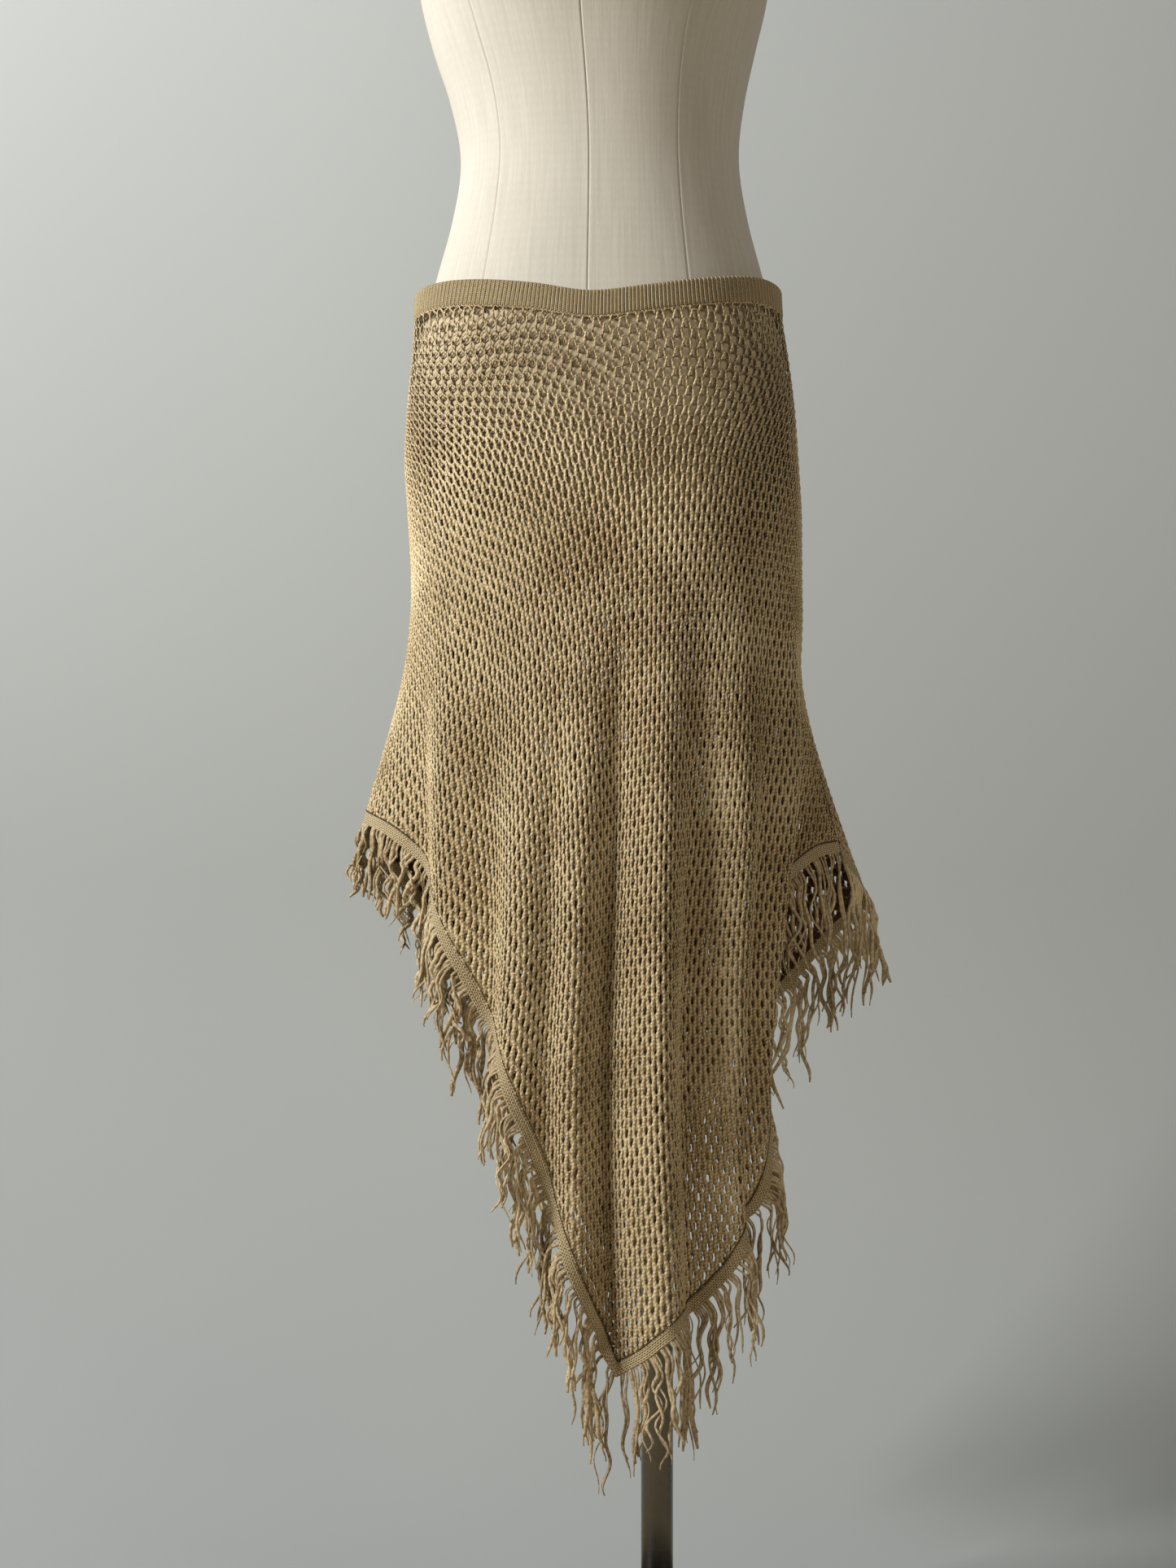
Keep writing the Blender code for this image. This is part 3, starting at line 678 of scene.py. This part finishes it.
def oiled_beech():
    """Turned beech: short dark flecks along a pale, faintly ringed grain."""
    material, tree, shader = start_material("oiled beech")
    place = add_node(tree, "ShaderNodeTexCoord").outputs["Object"]
    along = add_node(tree, "ShaderNodeMapping", inputs={
        "Vector": place, "Scale": (1000 / 40, 1000 / 2.5, 1000 / 6)})
    grain = add_node(tree, "ShaderNodeTexNoise", inputs={
        "Vector": along.outputs[0], "Scale": 1.0, "Detail": 5.0, "Roughness": 0.6})
    share = add_node(tree, "ShaderNodeMapRange", inputs={
        "Value": grain.outputs["Fac"], "From Min": 0.35, "From Max": 0.65})
    colour = add_node(tree, "ShaderNodeMix", MIX_COLOUR, {
        "Factor": share.outputs[0], 6: linear("A9794B"), 7: linear("C79C6C")})
    bump = add_node(tree, "ShaderNodeBump", inputs={
        "Height": grain.outputs["Fac"], "Strength": 0.15, "Distance": 0.0002})
    join_surface(tree, shader, colour, bump, {"Roughness": 0.45})
    return material


def polished_steel():
    """Chromed steel tube: a mirror with faint smears that change its gloss."""
    material, tree, shader = start_material("polished chromed steel")
    place = add_node(tree, "ShaderNodeTexCoord").outputs["Object"]
    smears = add_node(tree, "ShaderNodeTexNoise", inputs={
        "Vector": place, "Scale": 1000 / 25, "Detail": 3.0})
    gloss = add_node(tree, "ShaderNodeMapRange", inputs={
        "Value": smears.outputs["Fac"], "From Min": 0.3, "From Max": 0.7,
        "To Min": 0.20, "To Max": 0.32})
    tree.links.new(gloss.outputs[0], shader.inputs["Roughness"])
    shader.inputs["Base Color"].default_value = linear("747470")
    shader.inputs["Metallic"].default_value = 1.0
    return material


def powder_coat():
    """Black powder coat: an even orange-peel surface with a soft sheen."""
    material, tree, shader = start_material("black powder coat")
    place = add_node(tree, "ShaderNodeTexCoord").outputs["Object"]
    peel = add_node(tree, "ShaderNodeTexNoise", inputs={
        "Vector": place, "Scale": 1000 / 1.5, "Detail": 2.0})
    bump = add_node(tree, "ShaderNodeBump", inputs={
        "Height": peel.outputs["Fac"], "Strength": 0.3, "Distance": 0.0002})
    dust = add_node(tree, "ShaderNodeTexNoise", inputs={
        "Vector": place, "Scale": 1000 / 45, "Detail": 4.0})
    tone = add_node(tree, "ShaderNodeMix", MIX_COLOUR, {
        "Factor": dust.outputs["Fac"], 6: linear("1C1C1D"), 7: linear("2B2B2A")})
    join_surface(tree, shader, tone, bump, {"Roughness": 0.5})
    return material


def studio_paint():
    """Matt paint: pale beige on the floor, pale grey on the sweep behind it."""
    material, tree, shader = start_material("matt pale paint")
    place = add_node(tree, "ShaderNodeTexCoord").outputs["Object"]
    cloud = add_node(tree, "ShaderNodeTexNoise", inputs={
        "Vector": place, "Scale": 1.3, "Detail": 2.0})
    wall = add_node(tree, "ShaderNodeMix", MIX_COLOUR, {
        "Factor": cloud.outputs["Fac"], 6: linear("B9C0C3"), 7: linear("C1C7C9")})
    parts = add_node(tree, "ShaderNodeSeparateXYZ", inputs={0: place})
    beyond = add_node(tree, "ShaderNodeMapRange", inputs={
        "Value": parts.outputs["Y"], "From Min": 0.10, "From Max": 0.19})
    tone = add_node(tree, "ShaderNodeMix", MIX_COLOUR, {
        "Factor": beyond.outputs[0], 6: linear("C2B296"), 7: wall.outputs[2]})
    tree.links.new(tone.outputs[2], shader.inputs["Base Color"])
    shader.inputs["Roughness"].default_value = 0.95
    return material


# The net yarn's last colour, 5C3F1E, is painted shade for the strands that lie deep in the cloth.
NET_YARN = knit_yarn("matt viscose knit yarn", "8E7348", "F7E6BD", 1.3, 3.0, 0.14, "5C3F1E")
FRINGE_YARN = knit_yarn("loose viscose yarn", "826840", "F4E4C0", 2.0, 6.0, 0.05)
# The linking yarn's dark colours are painted shade: the shadow in the groove between the border
# and the net.
SHADED_LINK_YARN = knit_yarn("linking yarn in shade", "403220", "6E5A3A", 1.4, 3.0, 0.10)
# The dark colours of the rib and border knits are painted shade in their grooves.
RIB_KNIT = stitched_knit("one by one rib knit", "3E3321", "D8C69E", 3.4, 1.7)
BORDER_KNIT = stitched_knit("flat tubular knit", "604C2E", "EAD8AE", 3.17, 2.6)
LINEN = linen_canvas()
BEECH = oiled_beech()
STEEL = polished_steel()
POWDER_COAT = powder_coat()


# Stand and form

def add_stand():
    """Pole, socket, base plate and the flange under the form, each lathe turned."""
    foot = PLATE_THICKNESS + SEAM_GAP
    top = foot + SOCKET_HEIGHT
    flange_top = FORM_BOTTOM - SEAM_GAP
    flange_foot = flange_top - FLANGE_THICKNESS
    turned("powder_coated_base", 0.0, (
        (0.0, 0.0), (PLATE_RADIUS, 0.0), (PLATE_RADIUS, PLATE_THICKNESS), (0.0, PLATE_THICKNESS),
    ), POWDER_COAT, "base_plate", EDGE_ROUNDING * 0.5, 128)
    turned("chromed_pole_socket", 0.0, (
        (0.0, foot), (SOCKET_RADIUS, foot), (SOCKET_RADIUS, foot + EDGE_ROUNDING),
        (SOCKET_RADIUS * 0.86, foot + SOCKET_HEIGHT * 0.10),
        (SOCKET_RADIUS * 0.72, foot + SOCKET_HEIGHT * 0.25),
        (SOCKET_RADIUS * 0.67, foot + SOCKET_HEIGHT * 0.5),
        (SOCKET_RADIUS * 0.66, top - EDGE_ROUNDING),
        (SOCKET_RADIUS * 0.60, top), (0.0, top),
    ), STEEL, "pole_socket", 0.0004)
    turned("chromed_pole", 0.0, (
        (0.0, top + SEAM_GAP), (POLE_RADIUS, top + SEAM_GAP),
        (POLE_RADIUS, flange_foot - SEAM_GAP), (0.0, flange_foot - SEAM_GAP),
    ), STEEL, "pole", 0.0005)
    turned("powder_coated_flange", 0.0, (
        (0.0, flange_foot), (FLANGE_RADIUS * 0.45, flange_foot),
        (FLANGE_RADIUS * 0.90, flange_foot + EDGE_ROUNDING),
        (FLANGE_RADIUS, flange_foot + EDGE_ROUNDING * 2),
        (FLANGE_RADIUS, flange_top), (0.0, flange_top),
    ), POWDER_COAT, "form_flange", 0.0004)


def add_form():
    """The torso with its sewn cover: fine columns at each seam for its groove."""
    spread = np.arange(-180, 180, 2.5)
    close = np.array((-0.9, -0.45, -0.2, 0.0, 0.2, 0.45, 0.9))
    near = (np.array([seam[0] for seam in COVER_SEAMS])[:, None] + close).ravel()
    near = (near + 180) % 360 - 180
    away = np.min(np.abs((spread[:, None] - near + 180) % 360 - 180), axis=1)
    angles = np.sort(np.concatenate((spread[away > 0.6], near)))
    angles = np.append(angles, angles[0] + 360)
    last = len(angles) - 1

    def place(across, up):
        angle = angles[np.rint(across * last).astype(int)]
        height = FORM_BOTTOM + (NECK_TOP - FORM_BOTTOM) * up
        points = form_at(angle, height)
        out = unit(points - np.stack((np.full_like(angle, FORM_AXIS), 0 * angle, height), -1))
        groove = 0.0 * angle
        for seam, stops in COVER_SEAMS:
            gap = (angle - seam + 180) % 360 - 180
            depth = SEAM_GROOVE * ease((stops - height) / 0.03)
            groove = groove - depth * np.exp(-((gap / 0.22) ** 2))
            groove = groove + 0.35 * depth * np.exp(-(((np.abs(gap) - 0.7) / 0.35) ** 2))
        lengths = np.stack((np.radians(angle) * 0.14, height), -1)
        return points + out * groove[:, None], lengths

    mesh = wrapped_grid(last, FORM_ROWS, place, close_across=True, fill_ends=True)
    show("linen_torso", mesh, LINEN, ["form_torso"])
    _, neck_half_width, neck_depth, _, neck_x, _ = FORM[-1]
    radius = max(neck_half_width, neck_depth) + NECK_CAP_OVERHANG
    foot = NECK_TOP + SEAM_GAP
    turned("beech_neck_cap", neck_x, (
        (0.0, foot), (radius, foot), (radius, foot + NECK_CAP_HEIGHT * 0.5),
        (radius * 0.985, foot + NECK_CAP_HEIGHT * 0.7),
        (radius * 0.95, foot + NECK_CAP_HEIGHT * 0.88),
        (radius * 0.88, foot + NECK_CAP_HEIGHT), (0.0, foot + NECK_CAP_HEIGHT),
    ), BEECH, "neck_cap", 0.0006)


# Skirt

def net_runs(panel):
    """The looped yarn of each row, cut where it meets the waistband and the hem, from
    the top row down. Every loop is two rows tall, so that its upper half lies in front
    of the lower half of the row above."""
    _, facing, _, halves = panel
    grid = np.linspace(halves[0][1][0][0] + NET_TRIM, halves[1][1][-1][0] - NET_TRIM, 700)
    levels = np.linspace(0.25, 1.11, 130)
    widening = np.interp((grid[1:] + grid[:-1]) / 2 - facing, *np.array(COLUMN_WIDENING).T)
    counts = []
    for level in levels:
        steps = np.diff(run_length(skirt_at(grid, level))) / widening
        arc = np.concatenate(([0.0], np.cumsum(steps)))
        spacing = through(COLUMN_SPACING, 1, level)
        counts.append((arc - np.interp(facing + COLUMN_CENTRE, grid, arc)) / spacing)
    counts = np.array(counts)
    across = np.arange(len(grid))

    def columns_at(height):
        at = np.clip((height - levels[0]) / (levels[1] - levels[0]), 0, len(levels) - 1.001)
        k = at.astype(int)
        count = counts[k, across] + (at - k) * (counts[k + 1, across] - counts[k, across])
        return np.maximum.accumulate(count)

    lowest = min(row[1] for half in halves for row in half[1])
    rows = []
    for row in range(int((ROW_TOP - lowest) / ROW_SPACING) + 2):
        middle = ROW_TOP - row * ROW_SPACING - through(ROW_DROP, 1, grid - facing)
        ends = columns_at(middle)
        legs = np.arange(math.ceil(ends[0]), math.floor(ends[-1]) + 1)
        rises = np.where((legs + row) % 2, -1, 1)
        angle, height, out, swell = (np.empty((len(legs), len(LOOP_POINTS))) for _ in range(4))
        shaky = chance.normal(0, 0.035, len(legs))
        stretched = ease((np.interp(legs, ends, middle) - 0.86) / 0.16)
        spacing = through(COLUMN_SPACING, 1, np.interp(legs, ends, middle))
        from_facing = np.interp(legs, ends, grid) - facing
        spacing = spacing * np.interp(from_facing, *np.array(COLUMN_WIDENING).T)
        thin = HIPS_THIN * stretched + spacing / FULL_SPACING * (1 - stretched)
        for k, (share, depth, hanging, pulled) in enumerate(LOOP_POINTS):
            lean, girth = (a + (b - a) * stretched for a, b in zip(hanging, pulled))
            column = legs + shaky + rises * lean + chance.normal(0, 0.03, len(legs))
            angle[:, k] = np.interp(column, columns_at(middle + share * ROW_REACH), grid)
            height[:, k] = share * ROW_REACH + chance.normal(0, 0.00035, len(legs))
            out[:, k] = CLOTH / 2 + depth * LOOP_DEPTH + chance.normal(0, 0.00008, len(legs))
            swell[:, k] = thin * girth * (1 + chance.normal(0, 0.09, len(legs)))
        height += np.interp(angle, grid, middle)
        low = hem_height(halves, angle) + YARN_RADIUS * 0.5
        high = panel_top(angle) - YARN_RADIUS * 0.3
        height = np.clip(height, low, high)
        tall = height[:, -1] - height[:, 0]
        for part in (angle, height, out, swell):
            part[rises < 0] = part[rises < 0, ::-1]
        points, normals = cloth_at(angle, height, out), skirt_normal(angle, height)
        kept = np.concatenate(([0], (tall > ROW_REACH * 0.3).astype(int), [0]))
        breaks = np.flatnonzero(np.diff(kept))
        rows.append([(points[a:b].reshape(-1, 3), normals[a:b].reshape(-1, 3), swell[a:b].ravel())
                     for a, b in zip(breaks[::2], breaks[1::2])])
    return rows


def mark_depth(mesh):
    """Stores how far out each point lies: 0 at the cloth's inside, 1 at its outside."""
    places = np.empty(len(mesh.vertices) * 3)
    mesh.vertices.foreach_get("co", places)
    places = places.reshape(-1, 3)
    middle = through(SKIRT, 4, places[:, 2])
    angle = np.degrees(np.arctan2(places[:, 0] - middle, -places[:, 1]))
    cloth = skirt_at(angle, places[:, 2])
    beyond = np.hypot(places[:, 0] - middle, places[:, 1])
    beyond = beyond - np.hypot(cloth[:, 0] - middle, cloth[:, 1])
    # The knit yarn paints shade from these depth values: the deeper a strand lies, the darker its
    # colour.
    layer = mesh.attributes.new("depth", "FLOAT", "POINT")
    layer.data.foreach_set("value", np.clip((beyond + 0.0005) / 0.0030, 0, 1))


def add_net(panel):
    """Each panel's net is two pieces, parted between two rows."""
    name, _, parting, _ = panel
    rows = net_runs(panel)
    pieces = []
    for part, chosen in (("upper", rows[:parting]), ("lower", rows[parting:])):
        runs, facings, swells = zip(*(run for row in chosen for run in row))
        mesh = yarn_mesh(runs, facings, YARN_RADIUS, swells)
        mark_depth(mesh)
        label = "%s_net_%s" % (name, part)
        pieces.append(show(label, mesh, NET_YARN, [name + "_panel"]))
    return pieces


def half_angles(hem, columns):
    """Angles of a half panel's columns in the solid, trimmed at its side seam."""
    first, last = hem[0][0], hem[-1][0]
    angles = np.linspace(first, last, columns + 1)
    for end, inwards in ((0, 0.08), (-1, -0.08)):
        if angles[end] in (SEAM_LEFT, SEAM_RIGHT, SEAM_LEFT + 360):
            angles[end] += inwards
    return angles


def hem_frames(halves, spacing):
    """Spots along a whole hem: place, direction off the edge, normal, and distance.
    The directions are those of the solid border, so that the two agree at corners."""
    coarse = np.concatenate([half_angles(hem, columns)[k > 0:]
                             for k, (_, hem, columns) in enumerate(halves)])
    edge = skirt_at(coarse, hem_height(halves, coarse))
    normal = skirt_normal(coarse, hem_height(halves, coarse))
    steps = unit(np.diff(edge, axis=0))
    before = np.concatenate((steps[:1], steps))
    after = np.concatenate((steps, steps[-1:]))
    off = unit(np.cross(before + after, normal))
    off /= np.sqrt((1 + (before * after).sum(1)) / 2)[:, None]
    for end in (0, -1):
        height = hem_height(halves, coarse[end])
        down = unit(skirt_at(coarse[end], height - 0.001) - edge[end])
        off[end] = down / (down @ (off[end] / np.linalg.norm(off[end])))
    fine = np.linspace(coarse[0], coarse[-1], 6000)
    length = run_length(skirt_at(fine, hem_height(halves, fine)))
    count = round(length[-1] / spacing)
    distance = np.linspace(0, length[-1], count + 1)
    angle = np.interp(distance, length, fine)
    spread = [
        np.stack([np.interp(angle, coarse, part[:, k]) for k in range(3)], -1)
        for part in (off, normal)
    ]
    return skirt_at(angle, hem_height(halves, angle)), spread[0], unit(spread[1]), distance, angle


def add_border(panel):
    """The hem's flat tube: wales of V stitches along it, thicker than the net."""
    name, _, _, halves = panel
    edge, off, normal, distance, _ = hem_frames(halves, 0.0014)
    outer = np.linspace(0, 1, BORDER_WALES * 4 + 1)
    lobes = 0.41 + 0.09 * np.abs(np.sin(outer * BORDER_WALES * math.pi))
    ends = np.clip(np.sin(outer * math.pi) * 4, 0, 1)
    rise = np.concatenate((0.18 + (lobes - 0.18) * ends, -(0.18 + (lobes - 0.18) * ends)[::-2]))
    across = np.concatenate((outer, outer[::-2]))
    section = np.append(across, across[0]), np.append(rise, rise[0])
    round_it = run_length(np.stack((section[0] * BORDER_WIDTH, section[1] * BORDER_THICKNESS), -1))
    last, steps = len(distance) - 1, len(round_it) - 1

    def place(along, around):
        k = np.rint(along * last).astype(int)
        j = np.rint(around * steps).astype(int)
        plump = 1 + 0.05 * np.sin(distance[k] * 2 * math.pi / STITCH)
        away = section[0][j] * BORDER_WIDTH + SEAM_GAP * 0.5
        lift = CLOTH / 2 + section[1][j] * BORDER_THICKNESS * plump
        points = edge[k] + off[k] * away[:, None] + normal[k] * lift[:, None]
        return points, np.stack((distance[k], round_it[j]), -1)

    mesh = wrapped_grid(last, steps, place, close_across=True, fill_ends=True)
    return show(name + "_hem_tube", mesh, BORDER_KNIT, ["hem_border_" + name])


def add_linking(panel):
    """The chain of loops that joins the border to the net, on the border's inner side."""
    name, _, _, halves = panel
    edge, off, normal, distance, _ = hem_frames(halves, STITCH / 2)
    side = np.where(np.arange(len(distance)) % 2, 1.0, -1.0)[:, None]
    run = edge - off * (0.0005 + 0.0004 * side) + normal * (CLOTH / 2 + 0.0013 + 0.0002 * side)
    mesh = yarn_mesh([run[1:-1]], [normal[1:-1]], LINK_RADIUS)
    # Painted shade: the linking chain takes the dark shaded yarn, for the shadow along the
    # border's inner side.
    show(name + "_hem_linking", mesh, SHADED_LINK_YARN)


def add_fringe(panel, half):
    """Locks of a few soft yarns each. They leave the border square to it, turn down and
    hang in loose waves, some drawn together and some strayed apart."""
    name, facing, _, halves = panel
    side, hem, _ = halves[half]
    edge, off, normal, distance, angle = hem_frames(halves, 0.0004)
    mine = np.flatnonzero((angle >= hem[0][0]) & (angle <= hem[-1][0]))
    first, last = distance[mine[0]], distance[mine[-1]]
    locks = int((last - first) / LOCK_SPACING)
    runs, facings, swells = [], [], []
    fall = np.linspace(0, 1, FRINGE_POINTS)
    loose = ease(fall * 3)
    drop = np.array((0.0, 0.0, -1.0))
    for lock in range(locks):
        middle = first + (lock + 0.5 + chance.uniform(-0.22, 0.22)) * (last - first) / locks
        drift = chance.normal(0, 0.0055), abs(chance.normal(0, 0.0035))
        turns_down = chance.uniform(0.05, 0.22)
        lock_curl = chance.uniform(0.0014, 0.0042)
        lock_waves = chance.uniform(1.2, 2.5, 2)
        lock_phase = chance.uniform(0, 2 * math.pi, 2)
        gathers = chance.uniform(0.55, 1.05)
        length = chance.uniform(0.86, 1.10)
        yarns = int(chance.integers(YARNS_PER_LOCK[0], YARNS_PER_LOCK[1] + 1))
        for yarn in range(yarns):
            share = (yarn + 0.5) / yarns - 0.5
            at = middle + share * LOCK_SPACING * 0.80 + chance.normal(0, 0.0004)
            k = int(np.clip(np.searchsorted(distance, at), mine[0] + 2, mine[-1] - 2))
            away, out = unit(off[k]), normal[k]
            level_out = unit(np.array((out[0], out[1], 0.0)))
            level_along = np.array((-level_out[1], level_out[0], 0.0))
            root = edge[k] + off[k] * (BORDER_WIDTH - 0.0012) + out * (CLOTH / 2)
            usual = through(FRINGE_LENGTH[name], 1, angle[k] - facing)
            reach = length * chance.uniform(0.74, 1.06) * usual
            turn = ease((fall - 0.02) / (turns_down + chance.uniform(-0.03, 0.06)))[:, None]
            course = unit((away + out * 0.12) * (1 - turn) + drop * turn)
            course = course * reach / (FRINGE_POINTS - 1)
            path = root + np.concatenate((np.zeros((1, 3)), np.cumsum(course[:-1], axis=0)))
            curl = lock_curl * chance.uniform(0.5, 1.3)
            phase = lock_phase + chance.normal(0, 0.7, 2)
            waves = lock_waves + chance.normal(0, 0.25, 2)
            hook = chance.normal(0, 0.0045, 2) * ease((fall - 0.55) / 0.6)[:, None]
            closing = gathers * ease(fall * 2.2) - 0.5 * ease(fall * 1.7 - 0.7)
            gather = -share * LOCK_SPACING * closing
            gather = gather * np.sign((edge[k + 1] - edge[k]) @ level_along)
            stray = chance.normal(0, 0.0040, 2)
            sideways = gather + (drift[0] + stray[0]) * ease(fall) * fall + hook[:, 0]
            sideways = sideways + loose * curl * np.sin(2 * math.pi * waves[0] * fall + phase[0])
            outwards = (drift[1] + stray[1] * 0.5) * ease(fall) + hook[:, 1] * 0.6
            rolling = np.sin(2 * math.pi * waves[1] * fall + phase[1])
            outwards = np.maximum(outwards + loose * curl * 0.8 * rolling, -0.0008)
            runs.append(path + sideways[:, None] * level_along + outwards[:, None] * level_out)
            twist = (chance.normal(0, 0.6) + chance.uniform(-2.4, 2.4) * fall)[:, None]
            facings.append(level_out * np.cos(twist) + level_along * np.sin(twist))
            plump = chance.uniform(0.55, 1.10)
            swells.append(plump * (1 - 0.5 * ease((fall - 0.86) / 0.14)))
    mesh = yarn_mesh(runs, facings, FRINGE_RADIUS, swells, 0.55)
    node = "fringe_%s_%s" % (name, side)
    return show("yarn_" + node, mesh, FRINGE_YARN, [node])


def add_waistband():
    """A rib tube: plump rounded ribs outside with deep grooves, plain inside."""
    per_rib = 6
    shares = ((0.00, 0.25), (0.04, 0.85), (0.10, 1.0), (0.30, 1.0), (0.55, 1.0), (0.80, 1.0),
              (0.90, 1.0), (0.96, 0.85), (1.00, 0.30), (1.00, -0.05), (0.97, -0.12), (0.50, -0.15),
              (0.03, -0.12), (0.00, -0.05), (0.00, 0.25))
    height_share, out_share = np.array(shares).T
    columns, steps = RIB_COUNT * per_rib, len(shares) - 1
    rise = run_length(np.stack((height_share * BAND_HEIGHT, out_share * BAND_THICKNESS), -1))

    def place(across, around):
        j = np.rint(around * steps).astype(int)
        angle = across * 360 - 180
        rib = np.abs(np.sin(across * RIB_COUNT * math.pi))
        relief = RIB_HEIGHT * (rib ** 0.55 - 0.45) * np.clip(out_share[j], 0, 1)
        lean = RIB_LEAN * (height_share[j] - 0.5) * np.sin(np.radians(angle + 130))
        turned_angle = angle + np.degrees(lean / 0.13)
        height = band_top(turned_angle) - BAND_HEIGHT * (1 - height_share[j])
        scallop = 0.0004 * rib * (height_share[j] - 0.5)
        out = BAND_THICKNESS * (0.15 + 0.85 * out_share[j]) + relief
        points = cloth_at(turned_angle, height + scallop, out)
        return points, np.stack((rise[j], across * RIB_COUNT * RIB_SPACING), -1)

    mesh = wrapped_grid(columns, steps, place, close_across=True)
    return show("rib_waistband", mesh, RIB_KNIT, ["waistband"])


def add_waist_linking():
    """A scalloped chain of loops under the rib, one loop to a rib."""
    points = RIB_COUNT * 2
    angle = np.arange(points + 1) * 360 / points - 180
    side = np.where(np.arange(points + 1) % 2, 1.0, -1.0)
    height = panel_top(angle) - 0.0001 + 0.0006 * side
    run = cloth_at(angle, height, CLOTH / 2 + 0.0005 + 0.0003 * side)
    mesh = yarn_mesh([run], [skirt_normal(angle, height)], WAIST_LINK_RADIUS)
    mark_depth(mesh)
    show("waist_linking", mesh, NET_YARN)


def add_side_seams():
    """Each side seam, from the waistband to the hem: thick yarns along the panels' edges,
    with whipped stitches over them."""
    for side, angle in (("left", SEAM_LEFT), ("right", SEAM_RIGHT)):
        foot = float(HEM_FRONT_LEFT[0][1] if side == "left" else HEM_FRONT_RIGHT[-1][1])
        top = float(panel_top(angle))
        stitches = round((top - foot) / SEAM_STITCH)
        share = np.arange(stitches * 2 + 1) / (stitches * 2)
        zig = np.where(np.arange(len(share)) % 2, 1.0, -1.0)
        height = top + (foot - top) * share
        runs = [cloth_at(angle + edge, height, 0.0004 + 0 * height) for edge in SEAM_EDGES]
        runs.append(cloth_at(angle + zig * SEAM_REACH, height, CLOTH / 2 + 0.0003))
        facings = [skirt_normal(angle + 0 * height, height)] * len(runs)
        mesh = yarn_mesh(runs, facings, SEAM_YARN_RADIUS)
        mark_depth(mesh)
        show("side_seam_" + side, mesh, NET_YARN)


# Studio

def add_studio():
    """A floor that sweeps up into a wall, a window-like light from the left, and a
    little light from the right and from the room."""
    floor_to, bend, top = 0.20, 0.60, 4.0
    profile = [(-4.0, 0.0), (floor_to, 0.0)]
    profile += [(floor_to + bend * math.sin(t), bend - bend * math.cos(t))
                for t in np.linspace(0.1, math.pi / 2, 14)]
    profile.append((floor_to + bend, top))
    table = np.array(profile)

    def place(across, up):
        k = np.rint(up * (len(table) - 1)).astype(int)
        points = np.stack((across * 9 - 4.5, table[k, 0], table[k, 1]), -1)
        return points, points[:, :2]

    mesh = wrapped_grid(4, len(table) - 1, place)
    mesh.materials.append(studio_paint())
    mesh.shade_smooth()
    sweep = bpy.data.objects.new("studio_sweep", mesh)
    bpy.context.scene.collection.objects.link(sweep)

    for name, place_at, aim, size, watts, colour in LAMPS:
        lamp = bpy.data.lights.new(name, "AREA")
        lamp.shape = "SQUARE"
        lamp.size = size
        lamp.energy = watts
        lamp.color = linear(colour)[:3]
        holder = bpy.data.objects.new(name, lamp)
        holder.location = place_at
        way = np.array(aim) - np.array(place_at)
        level = math.hypot(way[0], way[1])
        turn = math.atan2(way[1], way[0]) - math.pi / 2
        holder.rotation_euler = (math.atan2(level, -way[2]), 0.0, turn)
        bpy.context.scene.collection.objects.link(holder)

    world = bpy.data.worlds.new("room light")
    world.use_nodes = True
    world.node_tree.nodes["Background"].inputs["Color"].default_value = linear("F0E9DE")
    world.node_tree.nodes["Background"].inputs["Strength"].default_value = ROOM_LIGHT
    bpy.context.scene.world = world
    bpy.context.scene.view_settings.view_transform = "Standard"


def add_camera():
    data = bpy.data.cameras.new("camera")
    data.sensor_width = 36.0
    data.lens = CAMERA_LENS
    camera = bpy.data.objects.new("camera", data)
    camera.location = CAMERA_PLACE
    camera.rotation_euler = (math.radians(90), 0.0, 0.0)
    bpy.context.scene.collection.objects.link(camera)
    bpy.context.scene.camera = camera


def main():
    add_camera()
    add_studio()
    add_stand()
    add_form()
    waistband = add_waistband()
    add_waist_linking()
    add_side_seams()
    for panel in PANELS:
        nets = add_net(panel)
        tube = add_border(panel)
        add_linking(panel)
        fringes = [add_fringe(panel, half) for half in (0, 1)]


main()
